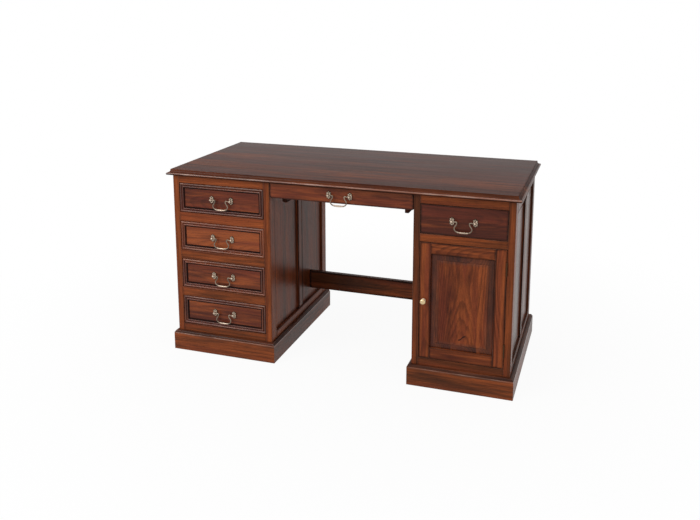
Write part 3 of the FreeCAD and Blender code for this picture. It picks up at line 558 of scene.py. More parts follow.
def moulded_slab(centre, axes, halves, profile, paint, planks, lean, shine=0.0, end_wear_and_highlight=1.0):
    """A slab glued from planks, with a moulding worked all round its edge.

    axes are the directions along and across the planks and out of the face. The profile's points
    (inset, height) run from the back's edge to the face's, and are carried round the rectangle of the
    two halves with mitred corners. The ends, the face and the back are cut at the planks' joints.
    paint holds the painted values of the profile's points, planks the rows of a table above, and lean
    is how fast the tree's heart sinks behind the face along the planks. shine is how much more lacquer
    is left at the last plank than at the first, and the last argument is how much of the edge's lighter
    tone, worn lightening with its painted highlight, and polish its two ends have.
    """
    inset, height = profile.T
    half_along, half_across = halves
    joints = half_across * (2 * np.array([0, *(share for share, _, _ in planks)]) - 1)
    last = len(planks) - 1
    end = half_along - inset
    edge = {name: np.repeat(values, 2) for name, values in paint.items()}
    end_edge = {name: values if name == "rim" else end_wear_and_highlight * values for name, values in edge.items()}
    sheets = []
    for plank, (_, heart, tone) in enumerate(planks):
        near, far = joints[plank : plank + 2]
        place = boards_drawn.uniform(*TREE * (1, 0, 1)) + (0, heart * (far - near) - (near + far) / 2, 0)
        low = inset - half_across if plank == 0 else np.full_like(inset, near)
        high = half_across - inset if plank == last else np.full_like(inset, far)
        corners = ((-end, low), (-end, high), (end, high), (end, low))
        lines = [np.stack([u, v, height], -1) for u, v in corners]
        borders = [(0, 1, end_edge), (2, 3, end_edge)]
        if plank == 0:
            borders.append((3, 0, edge))
        if plank == last:
            borders.append((1, 2, edge))
        grids = [(np.stack([lines[a], lines[b]], 1), painted) for a, b, painted in borders]
        for row, order in ((0, -1), (-1, 1)):
            a, b, c, d = (line[row] for line in lines)
            flat = {name: values[row] for name, values in paint.items()}
            grids.append((np.array([[a, b], [d, c]])[::order], flat))
        for grid, painted in grids:
            local = grid.reshape(-1, 3)
            grain = local + place + local[:, :1] * (0, 0, lean)
            left = shine * (local[:, 1] / half_across + 1) / 2
            own = {"tone": painted["tone"] + tone, "polish": painted["polish"] + left}
            sheets.append(sheet(centre + grid @ np.stack(axes), grain=grain, **{**painted, **own}))
    return outward(join(sheets, one_solid=True))


def turned(profile, base, around, wear):
    """A piece turned on a lathe: points (radius, height) spun round an axis to the front from its base.

    The profile starts and ends on the axis.
    """
    angle = circle_angles(around)[:, None]
    circle = np.cos(angle) * Z - np.sin(angle) * X
    radius, height = profile.T[:, :, None, None]
    rings = base + height * FRONT + radius * circle
    return carry(rings, caps=(False, False), wear=np.repeat(wear, around))


def spline(points, steps):
    """A smooth path near given points: uniform cubic B-spline pieces, with the end points tripled."""
    padded = np.concatenate([points[:1], points[:1], points, points[-1:], points[-1:]])
    share = np.linspace(0, 1, steps, endpoint=False)[:, None]
    falling = 3 * share**3 - 6 * share**2 + 4
    rising = -3 * share**3 + 3 * share**2 + 3 * share + 1
    weights = np.concatenate([(1 - share) ** 3, falling, rising, share**3], axis=1) / 6
    windows = np.stack([padded[k : len(padded) - 3 + k] for k in range(4)], 1)
    path = np.einsum("sk,wkd->wsd", weights, windows).reshape(-1, padded.shape[1])
    return np.concatenate([path, points[-1:]])


# Shader expressions


def calculated(operation, reflected=False):
    """A method of Wire: a Math node on the wire and another value, which change places if reflected."""

    def operate(wire, other=0.0):
        first, second = (other, wire) if reflected else (wire, other)
        sockets = {"Value": first, "Value_001": second}
        return wire.finish.node("ShaderNodeMath", {"operation": operation}, sockets)

    return operate


class Wire:
    """A shader socket that can stand in a sum: each operator adds a Math node to its tree."""

    __add__, __radd__ = calculated("ADD"), calculated("ADD", True)
    __sub__, __rsub__ = calculated("SUBTRACT"), calculated("SUBTRACT", True)
    __mul__, __rmul__ = calculated("MULTIPLY"), calculated("MULTIPLY", True)
    __pow__, __rpow__ = calculated("POWER"), calculated("POWER", True)
    larger = calculated("MAXIMUM")
    fraction = calculated("FRACT")
    sine = calculated("SINE")
    size = calculated("ABSOLUTE")

    def __init__(self, finish, socket):
        self.finish = finish
        self.socket = socket

    def sibling(self, name):
        """Another output of the same node."""
        return Wire(self.finish, self.socket.node.outputs[name])


class Finish:
    """The node tree of a material or a world, and the ways to add to it."""

    def __init__(self, owner):
        owner.use_nodes = True
        self.owner = owner
        self.tree = owner.node_tree
        self.tree.nodes.clear()

    def node(self, kind, settings=None, sockets=None, output=0):
        """Adds a node: its settings first, then values or links of its sockets. Gives one output."""
        made = self.tree.nodes.new(kind)
        for name, value in (settings or {}).items():
            setattr(made, name, value)
        by_key = {socket.identifier: socket for socket in made.inputs}
        for key, value in (sockets or {}).items():
            if isinstance(value, Wire):
                self.tree.links.new(value.socket, by_key[key])
            else:
                by_key[key].default_value = value
        return Wire(self, made.outputs[output]) if made.outputs else None

    def painted(self, name, output="Fac"):
        """A value painted on the mesh."""
        return self.node("ShaderNodeAttribute", {"attribute_name": name}, output=output)

    def place(self):
        """The place in the object's own axes."""
        return self.node("ShaderNodeTexCoord", output="Object")

    def noise(self, place, along, across, detail=2.0, roughness=0.5):
        """Noise over a place that is first stretched by a factor along its X, and by another across it."""
        stretch = {"Vector": place, "Vector_001": (along, across, across)}
        stretched = self.node("ShaderNodeVectorMath", {"operation": "MULTIPLY"}, stretch)
        sockets = {"Vector": stretched, "Scale": 1.0, "Detail": detail, "Roughness": roughness}
        return self.node("ShaderNodeTexNoise", {}, sockets)

    def between(self, value, low, high, start=0.0, end=1.0):
        """A value carried smoothly from one range to another, and held at its ends."""
        sockets = {"Value": value, "From Min": low, "From Max": high, "To Min": start, "To Max": end}
        return self.node("ShaderNodeMapRange", {"interpolation_type": "SMOOTHSTEP"}, sockets)

    def mix(self, share, first, second, blend="MIX"):
        """Two colours mixed by a share."""
        first, second = (c if isinstance(c, Wire) else (*c, 1.0) for c in (first, second))
        settings = {"data_type": "RGBA", "blend_type": blend, "clamp_factor": True}
        sockets = {"Factor_Float": share, "A_Color": first, "B_Color": second}
        return self.node("ShaderNodeMix", settings, sockets, output=2)

    def shaded(self, colour, value):
        """A colour times a value."""
        grey = self.node("ShaderNodeCombineColor", {}, {"Red": value, "Green": value, "Blue": value})
        return self.mix(1.0, colour, grey, "MULTIPLY")

    def bump(self, height, strength, distance):
        """Normals of a fine relief."""
        sockets = {"Strength": strength, "Distance": distance, "Height": height}
        return self.node("ShaderNodeBump", {}, sockets)

    def surface(self, sockets):
        """Ends the tree in a surface shader."""
        shader = self.node("ShaderNodeBsdfPrincipled", {}, sockets)
        self.node("ShaderNodeOutputMaterial", {}, {"Surface": shader})
        return self.owner


# Noise in the woods: how often it changes to a metre along and across a board, its detail and roughness.
# Marks that start and end then have the noise at which they do, and some how strong they are there.
WOOD_NOISE = {
    "drift": (1.2, 1.2, 1.0, 0.5),
    "ripple": (5.0, 45.0, 3.0, 0.6),
    "broad": (0.8, 13.0, 2.0, 0.5),
    "cloud": (4.0, 12.0, 3.0, 0.5),
    "blot": (7.0, 100.0, 3.0, 0.5),
    "fibre": (12.0, 420.0, 3.0, 0.65),
    "strength": (1.1, 11.0, 2.0, 0.5, 0.35, 0.65, 0.1, 1.0),
    "streak": (1.3, 100.0, 4.0, 0.6, 0.50, 0.70),
    "pore": (60.0, 1500.0, 1.0, 0.5, 0.60, 0.70),
    "flush": (2.0, 34.0, 3.0, 0.5, 0.44, 0.64),
    # Patches in the rims' stain and painted shade
    "gathered": (6.0, 18.0, 3.0, 0.5, 0.25, 0.75, 0.35, 0.95),
    "scuffed": (12.0, 90.0, 2.0, 0.5, 0.42, 0.72),
}
# Growth rings to a metre, how far the heart lies behind the face and how far it drifts
RINGS = 170.0
HEART_DEPTH = 0.04
HEART_DRIFT = 0.18
# The lacquer where it lies thick
COAT = {"Coat Roughness": 0.12, "Coat IOR": 1.5}
# The door panel's drying crack: its middle as shares of the panel's box, its slope, its waves to a metre
# and their height, and how far it reaches and how wide it is, from where it ends to where it is full
CRACK_SHARES = (0.515, 0, 0.16)
CRACK_SLOPE = 0.75
CRACK_WAVES = 300.0
CRACK_SWING = 0.0016
CRACK_REACH = (0.017, 0.009)
CRACK_WIDTH = (0.0036, 0.0014)


def door_crack(finish):
    """1 in the door panel's drying crack, a slanted, waving line that thins out towards its ends."""
    low, high = box_of("door_panel")
    middle = low + np.array(CRACK_SHARES) * (high - low)
    x = finish.node("ShaderNodeSeparateXYZ", {}, {"Vector": finish.place()})
    side, up = x - middle[0], x.sibling("Z") - middle[2]
    off = up - side * CRACK_SLOPE - (side * CRACK_WAVES).sine() * CRACK_SWING
    return finish.between(off.size(), *CRACK_WIDTH) * finish.between(side.size(), *CRACK_REACH)


def figured_wood(name, stain, gloss, index, figure, streaks, mottle):
    """Lacquered, figured hardwood.

    Growth rings are circles round a heart that lies behind the board's face and drifts along its
    length, which draws arches on a flat face and lines near its edges. Fibres and pores are noise
    stretched along the grain, and dark streaks are slow noise. Eased edges are rubbed lighter, with
    painted highlights along crests and lips, and rims darken with gathered stain and painted shade.
    figure, streaks and mottle say how strongly the rings, the streaks and the stain's blots show, and
    index is how the lacquer shines. The door panel's wood also has a drying crack.
    """
    # The darkest colour is also painted shade, and the rubbed one also painted highlights
    deep, warm, red, vein, rubbed = stain
    finish = Finish(bpy.data.materials.new(name))
    grain = finish.painted("grain", "Vector")
    tone, wear, rim, polish = (finish.painted(label) for label in PAINTS)
    noise = {}
    for label, (along, across, detail, roughness, *shown) in WOOD_NOISE.items():
        noise[label] = finish.noise(grain, along, across, detail, roughness)
        if shown:
            noise[label] = finish.between(noise[label], *shown)
    cloud, fibre, pore = noise["cloud"], noise["fibre"], noise["pore"]

    place = finish.node("ShaderNodeSeparateXYZ", {}, {"Vector": grain})
    across, through = place.sibling("Y"), place.sibling("Z")
    depth = through + noise["drift"] * HEART_DRIFT - HEART_DEPTH
    radius = (across * across + depth * depth) ** 0.5
    ring = (radius * RINGS + noise["ripple"] * 1.1).fraction()
    late = finish.between(ring, 0.30, 0.90) * finish.between(ring, 1.0, 0.92)

    mottled = (noise["broad"] - 0.5) * 1.2 + (cloud - 0.5) * 0.9 + (noise["blot"] - 0.5) * mottle
    body = finish.mix(finish.between(tone * 0.42 + 0.46 + mottled, 0.0, 1.0), deep, warm)
    body = finish.mix(noise["flush"] * 0.55, body, red)
    body = finish.mix(late * noise["strength"] * figure, body, vein)
    body = finish.mix(noise["streak"] * streaks, body, vein)
    body = finish.shaded(body, fibre * 1.1 + 0.45)
    body = finish.mix(pore * 0.45, body, vein)
    # Stain that gathers at rims, with painted shade in recesses, grooves and under overhangs
    body = finish.mix(rim * noise["gathered"], body, vein)
    # Edges rubbed lighter, with painted highlights along crests, lips and ledges
    body = finish.mix(wear * (noise["scuffed"] * 0.5 + 0.15), body, rubbed)
    if name == "panel_wood":
        body = finish.mix(door_crack(finish), body, vein)

    rough = gloss + cloud * 0.12 + pore * 0.1 + (fibre - 0.5) * 0.08 + rim * 0.4
    bump = finish.bump(fibre - pore * 0.8 - late * 0.2, 0.18, 0.0004)
    sockets = {"Base Color": body, "Roughness": rough, "Normal": bump, "IOR": index, "Coat Weight": polish}
    return finish.surface({**sockets, **COAT})


def aged_brass(name, metal, patina, rough):
    """Cast brass: bright where it stands high and is rubbed, dull and dark in the hollows, finely pitted."""
    finish = Finish(bpy.data.materials.new(name))
    place = finish.place()
    cloud = finish.noise(place, 90.0, 90.0, 4.0, 0.6)
    pits = finish.between(finish.noise(place, 900.0, 900.0), 0.58, 0.72)
    rubbed = finish.between(finish.painted("wear") + (cloud - 0.5) * 0.8, 0.05, 0.75)
    colour = finish.mix(rubbed, patina, metal)
    roughness = rough + (1.0 - rubbed) * 0.22 + pits * 0.1
    bump = finish.bump(cloud - pits, 0.25, 0.0002)
    return finish.surface({"Base Color": colour, "Roughness": roughness, "Metallic": 1.0, "Normal": bump})


def moulded_plastic(name, colour):
    """Dark moulded plastic with a fine even texture."""
    finish = Finish(bpy.data.materials.new(name))
    speck = finish.noise(finish.place(), 1500.0, 1500.0)
    body = finish.shaded(colour, speck * 0.5 + 0.75)
    bump = finish.bump(speck, 0.2, 0.0002)
    return finish.surface({"Base Color": body, "Roughness": speck * 0.2 + 0.4, "Normal": bump})


# The woods: their stain, how rough and how reflective the lacquer is, and how strongly rings, streaks
# and blots show
WOODS = {
    "top_wood": ("browned", 0.36, 1.105, 0.35, 1.0, 1.0),
    "case_wood": ("shaded", 0.28, 1.19, 0.3, 0.45, 1.2),
    "front_wood": ("warm", 0.28, 1.22, 0.55, 0.4, 1.4),
    "panel_wood": ("warm", 0.28, 1.22, 0.45, 0.3, 0.8),
    "drawer_wood": ("warm", 0.28, 1.27, 0.3, 0.35, 1.5),
    "plinth_wood": ("shaded", 0.30, 1.22, 0.3, 0.4, 1.7),
    "inner_wood": ("bare", 0.55, 1.4, 0.4, 0.4, 0.8),
}
# How far each of a stain's colours goes towards the top's brown, how far the cases' red goes towards the
# warm wood, and how much of the bare wood each colour is inside the desk
BROWNING = (0.55, 0.3, 0.5, 0, 0)
WARMING = 0.3
BARE_SHARES = (0.6, 1.0, 0.8, 0.3, 1.0)
STEEL, DULL_STEEL = (0.55, 0.55, 0.54), (0.4, 0.4, 0.4)
PLASTIC = (0.02, 0.017, 0.015)
# Finishes that aren't called by their node's slot
OWN_FINISH = {"door_panel": "panel_wood", "centre_hangers": "case_wood"}
OWN_FINISH.update({f"{drawer}_front": "drawer_wood" for drawer in DRAWERS})
FINISHES = {}


def finish_for(node):
    """The material of a node, made when it is first asked for."""
    name = OWN_FINISH.get(node, SLOT_OF[node])
    if name not in FINISHES:
        FINISHES[name] = make_finish(name)
    return FINISHES[name]


def towards(goal, colour, share):
    """A colour moved towards a goal by a share."""
    return tuple((1 - share) * a + share * b for a, b in zip(colour, goal))


def make_finish(name):
    """A finish by its name, in the colours that the user set."""
    chosen = bpy.context.scene.desk_finishes

    def colours(*labels):
        return [tuple(getattr(chosen, label)) for label in labels]

    stain = colours("deep_wood", "warm_wood", "red_wood", "vein", "rubbed_edge")
    _, warm, red, vein, rubbed = stain
    side, brown, bare = colours("side_wood", "top_brown", "bare_wood")
    brass, patina, bright, browned = colours("brass", "patina", "bright_brass", "hinge_metal")
    stains = {
        "warm": stain,
        "browned": [towards(brown, colour, share) for colour, share in zip(stain, BROWNING)],
        "shaded": [side, warm, towards(warm, red, WARMING), vein, rubbed],
        "bare": [tuple(share * value for value in bare) for share in BARE_SHARES],
    }
    # Each metal's colour where it is rubbed and in the hollows, and how rough it is
    metals = {
        "antique_brass": (brass, patina, 0.34),
        "knob_brass": (bright, brass, 0.24),
        "hinge_brass": (browned, [0.5 * value for value in browned], 0.4),
        "catch_steel": (STEEL, DULL_STEEL, 0.3),
    }
    if name in WOODS:
        kind, *worked = WOODS[name]
        return figured_wood(name, stains[kind], *worked)
    if name in metals:
        return aged_brass(name, *metals[name])
    return moulded_plastic(name, PLASTIC)


def dress_boards(context, nodes, **worked):
    """Rebuilds plain boards, one for each solid of the nodes, all of them worked alike."""
    ease = context.scene.desk_sizes.edge_ease
    for node in nodes:
        boxes = sorted(solid_boxes(node), key=lambda box: -box[1][2])
        tones = np.broadcast_to(BOARD_TONES.get(node, 0.0), len(boxes))
        dress(node, join([board(*box, ease, tone, **worked) for box, tone in zip(boxes, tones)]))


# One operator for each group of pieces


class DESK_OT_top(Operator):
    """Makes the moulded top from glued planks"""

    bl_idname = "desk.top"
    bl_label = "Top"

    def execute(self, context):
        sizes = context.scene.desk_sizes
        low, high = box_of("desk_top")
        thick = high[2] - low[2]
        lip, step, radius = sizes.lip_height, sizes.lip_step, sizes.lip_radius
        foot = (-step - sizes.edge_ease / 2, lip)
        brow = (-sizes.top_edge_width, thick)
        # Painted shade under the lip, a lighter lip with a painted highlight, and a darker cove above it
        edge, paint = painted_outline(
            ([(-3 * step, 0)], 0, 0, 1, 0),
            (arc((-radius, 0), (0, radius), radius, 1), 0, 0, 1, 0),
            (arc((0, lip - radius), (-radius, lip), radius, 1), 2.4, 1.1, 0, 0.9),
            ([(-step, lip)], 0, 0, 1, 0.3),
            (arc(foot, brow, sizes.cove_radius, -1), 1.2, 0, 0.45, 0.1),
            ([(brow[0] - sizes.edge_ease, thick)], 0.3, 0.4, 0.3, 0),
            ([(brow[0] - RIM_WIDTH, thick)], 0, 0, 0, 0),
        )
        centre = np.array([*(low + high)[:2] / 2, low[2]])
        halves = (high - low)[:2] / 2
        worked = (TOP_PLANKS, TOP_LEAN, TOP_SHINE, TOP_END_WEAR_AND_HIGHLIGHT)
        dress("desk_top", moulded_slab(centre, (X, Y, Z), halves, edge * (-1, 1), paint, *worked))
        return {"FINISHED"}


class DESK_OT_cases(Operator):
    """Makes the pedestals' posts, rails, muntins, panels and backs"""

    bl_idname = "desk.cases"
    bl_label = "Pedestals"

    def execute(self, context):
        for side in SIDES:
            dress_boards(context, (f"{side}_side_rails", f"{side}_back_rails"))
            # Rims of stain and painted shade: light on flush boards, heavy on the muntins, wide round the panels
            dress_boards(context, [f"{side}_front_rails"], gathers=FLUSH_STAIN_AND_SHADE)
            dress_boards(context, [f"{side}_posts"], rim_width=POST_RIM, gathers=FLUSH_STAIN_AND_SHADE)
            dress_boards(context, [f"{side}_muntins"], rim_width=POST_RIM, gathers=DEEP_STAIN_AND_SHADE)
            panels = (f"{side}_side_panels", f"{side}_back_panel")
            dress_boards(context, panels, rim_width=PANEL_RIM, polish=PANEL_POLISH[side])
        return {"FINISHED"}


# A plinth's moulding: how thick its top stays and how round it is, as shares of the board's thickness and
# of the moulding's height, and how much of a board's easing its edges have
CROWN_SHARE = 0.2
CROWN_ROUND = 1.1
PLINTH_EASE = 0.5


class DESK_OT_plinths(Operator):
    """Makes the mitred plinths with their moulding"""

    bl_idname = "desk.plinths"
    bl_label = "Plinths"

    def execute(self, context):
        sizes = context.scene.desk_sizes
        for side in SIDES:
            low, high = box_of(f"{side}_plinth")
            (x0, y0, _), (x1, y1, _) = box_of(f"{side}_posts")
            thick = x0 - low[0]
            plumb = high[2] - sizes.plinth_moulding
            shelf = (thick - sizes.plinth_step, plumb)
            crown = (CROWN_SHARE * thick, high[2])
            # A painted highlight along the ledge's outer edge, and the moulding above it painted darker
            section, paint = painted_outline(
                ([(0, 0), (thick, 0)], 0, 0.4, 0.5, 0),
                ([(thick, RIM_WIDTH), (thick, plumb - RIM_WIDTH)], 0, 0, 0, 0),
                ([(thick, plumb)], 0, 1, 0, 0.6),
                (arc(shelf, crown, CROWN_ROUND * sizes.plinth_moulding, 1, 6), 0, 0, 0.9, 0.15),
                ([(0, high[2])], 0, 0, 1, 0),
            )
            section = eased_outline(section, PLINTH_EASE * sizes.edge_ease)
            paint = {name: np.repeat(values, EASE_STEPS + 1) for name, values in paint.items()}
            corners = np.array([(x0, y0, 0), (x1, y0, 0), (x1, y1, 0), (x0, y1, 0)])
            strips = frame_strips(corners, (-Y, X, Y, -X), Z, section, paint, PLINTH_TONES[side])
            dress(f"{side}_plinth", join(strips))
        return {"FINISHED"}


class DESK_OT_kneehole(Operator):
    """Makes what spans the kneehole: stretcher, back rail and the drawer's hangers"""

    bl_idname = "desk.kneehole"
    bl_label = "Kneehole"

    def hanger(self, sizes, low, high, inward):
        """A hanger's section, an upright with a slanted foot and a ledge, carried from front to back."""
        ledge = box_of("centre_drawer_box")[0][2] - low[2]
        tall, wide = high[2] - low[2], high[0] - low[0]
        slant, thick, under = sizes.hanger_chamfer, sizes.hanger_board, ledge - sizes.hanger_ledge
        upright = [(0, tall), (0, slant), (slant, 0), (thick, 0)]
        step = [(thick, under), (wide, under), (wide, ledge), (thick, ledge), (thick, tall)]
        section = eased_outline(upright + step, sizes.edge_ease)
        base = np.array([low[0] if inward > 0 else high[0], low[1], low[2]])
        axes = (inward * X, Z, Y)
        # The hanger is painted dark all over, as shade under the top
        return length_of_section(section, axes, base, high[1] - low[1], tone=HANGER_SHADE_TONE, rim=1.0)

    def execute(self, context):
        sizes = context.scene.desk_sizes
        # Heavy painted shade along the stretcher's edges, under the top
        dress_boards(context, ["stretcher"], rim_width=POST_RIM, gathers=DEEP_STAIN_AND_SHADE)
        dress_boards(context, ["centre_back_rail"])
        left, right = sorted(solid_boxes("centre_hangers"), key=lambda box: box[0][0])
        dress("centre_hangers", join([self.hanger(sizes, *left, 1), self.hanger(sizes, *right, -1)]))
        return {"FINISHED"}


class DESK_OT_insides(Operator):
    """Makes the runners, cleats, bottoms and the shelf"""

    bl_idname = "desk.insides"
    bl_label = "Insides"

    def execute(self, context):
        nodes = [f"{side}_{piece}" for side in SIDES for piece in ("runners", "bottom_board")]
        dress_boards(context, [*nodes, "top_cleats", "cabinet_shelf"])
        return {"FINISHED"}


class DESK_OT_drawers(Operator):
    """Makes the drawers' boxes and fronts, with a picture-frame moulding on the left ones"""

    bl_idname = "desk.drawers"
    bl_label = "Drawers"

    def moulding(self, low, high, width, height, tone):
        """The four strips round a front: a steep slope up from the panel, a bead, a groove and a bolder bead.

        The section's points are shares of the strip's width and height. What stands highest gets a painted
        highlight line, and the slope and the groove are painted dark as shade.
        """
        slope = np.array([(0.01, 0.05), (0.08, 0.12), (0.16, 0.45), (0.22, 0.74), (0.26, 0.82)])
        bead = np.array([(0.28, 0.84), (0.30, 0.98), (0.37, 1.04), (0.45, 0.95), (0.50, 0.60)])
        groove = [(0.53, 0.38), (0.57, 0.30), (0.61, 0.38)]
        bold_bead = np.array([(0.64, 0.50), (0.68, 0.92), (0.80, 1.10), (0.93, 0.98), (0.99, 0.60)])
        section, paint = painted_outline(
            ([(0, 0), (0, 0.04), *spline(slope, 5)], 0, 0, 1.7, 0),
            (spline(bead, 5), 0.3, 0, 0.3, 0.4),
            (groove, 0, 0, 1, 0),
            (spline(bold_bead, 5), 0.3, 0, 0.25, 0.4),
            ([(1, 0.5), (1, 0)], 0, 0, 1, 0),
        )
        top = section[:, 1].max()
        # A painted highlight line along the highest part of the beads
        paint["wear"] = np.clip(10 * section[:, 1] / top - 9, 0, 1)
        section = section * (width, height / top)
        (x0, seat, z0), (x1, _, z1) = low + (width, height, width), high - width
        corners = np.array([(x0, seat, z0), (x1, seat, z0), (x1, seat, z1), (x0, seat, z1)])
        return frame_strips(corners, (-Z, X, Z, -X), FRONT, section, paint, 4 * [tone], MOULDING_HIGHLIGHTS)

    def box(self, sizes, node):
        """A drawer's box: two sides, a back between them and a bottom let in between all three."""
        low, high = box_of(node)
        thick, ease = sizes.box_board, 0.6 * sizes.edge_ease
        floor = low[2] + sizes.box_bottom_rise
        left, right = low[0] + thick, high[0] - thick
        tongue = thick / 3
        boards = (
            (low, (left, high[1], high[2]), 1),
            ((right, low[1], low[2]), high, 1),
            ((left, high[1] - thick, floor + sizes.box_bottom), (right, high[1], high[2]), 0),
            ((left - tongue, low[1], floor), (right + tongue, high[1], floor + sizes.box_bottom), 0),
        )
        return join([board(*corners, ease, along=axis) for *corners, axis in boards])

    def execute(self, context):
        sizes = context.scene.desk_sizes
        for drawer in DRAWERS:
            node = f"{drawer}_front"
            tone = BOARD_TONES[node]
            low, high = box_of(node)
            face = box_of(f"{drawer}_handle_posts")[1][1]
            relief = face - low[1]
            # The slim front's board is turned end for end, which puts its lighter end on the left
            way = -1 if drawer == "centre_drawer" else 1
            shapes = [board((low[0], face, low[2]), high, sizes.edge_ease, tone, way=way)]
            if relief > sizes.edge_ease:
                shapes += self.moulding(low, high, sizes.moulding_width, relief, tone - MOULDING_DARKER)
            dress(node, join(shapes))
            dress(f"{drawer}_box", self.box(sizes, f"{drawer}_box"))
        return {"FINISHED"}


class DESK_OT_door(Operator):
    """Makes the cabinet door's frame and its fielded panel"""

    bl_idname = "desk.door"
    bl_label = "Door"

    def execute(self, context):
        dress_boards(context, ("door_stiles", "door_rails"))
        low, high = box_of("door_panel")
        inner = sorted(box[end][0] for box in solid_boxes("door_stiles") for end in (0, 1))[1:3]
        tongue = (high[0] - low[0] - (inner[1] - inner[0])) / 2
        thick = high[1] - low[1]
        rim = thick / 2
        field = tongue + context.scene.desk_sizes.door_bevel
        # Small steps, the radii of the hollow and of the brow above it, and the heights where they meet
        nick, step, hollow, brow = 0.001, 0.003, 0.075, 0.0045
        rise, quirk, shoulder = thick * np.array([0.82, 0.85, 0.92])
        edge = [(nick, 0), (0, nick), (0, rim - nick), (nick, rim), (tongue, rim), (tongue + step, rim)]
        # Painted shade at the tongue, by the frame, and in the quirk at the field's edge; the bevel darker
        profile, paint = painted_outline(
            (edge, 0, 0, 1, 0),
            (arc((tongue + 2 * step, rim), (field - 2 * nick, rise), hollow, 1, 10), 0, 0, 0.8, 0.25),
            ([(field - nick, quirk)], 0, 0, 1, 0),
            (arc((field, shoulder), (field + step, thick), brow, -1, 5), 0, 0.1, 0.4, 0.1),
            ([(field + 2 * RIM_WIDTH, thick)], 0, 0, 0, 0),
        )
        halves = (high - low)[[2, 0]] / 2
        worked = (profile, paint, DOOR_PLANKS, DOOR_LEAN)
        dress("door_panel", moulded_slab(back_middle(low, high), (Z, X, FRONT), halves, *worked))
        return {"FINISHED"}


# A handle's post up to its ball, as shares of the ball's radius and of its distance from the face
POST_FOOT = np.array([(0.0, 0.15), (1.02, 0.15), (1.02, 0.2), (0.86, 0.27), (0.62, 0.36), (0.56, 0.46)])
# A bail from its post down to its foot, as shares of half the posts' distance and of the drop
SWAN_NECK = np.array(
    [(0.84, 0), (0.66, 0.05), (0.53, 0.02), (0.55, -0.20), (0.67, -0.38), (0.79, -0.58), (0.72, -0.84)]
    + [(0.50, -0.99), (0.22, -1.01)]
)
# Points round a rosette, a post and a bail's wire
LEAF_POINTS = 96
POST_POINTS = 28
WIRE_POINTS = 20
# How far a rosette stands off the face, as a share of the bail's distance from it, the number of its
# lobes, how deep they and the waist cut in, and how wide the waist is
ROSETTE_RISE = 0.36
LOBES = 8
LOBE_DEPTH = 0.055
WAIST_DEPTH = 0.16
WAIST_WIDTH = 0.32
# How much of half the posts' distance a bail's grip takes up, how thick the wire, the grip's swelling and
# its collars are, as shares of the wire's radius, and over how much of its reach a button rounds off
GRIP_SHARE = 0.42
WIRE_SHARES = (0.93, 0.42, 0.30)
BUTTON_ROUND = 0.12


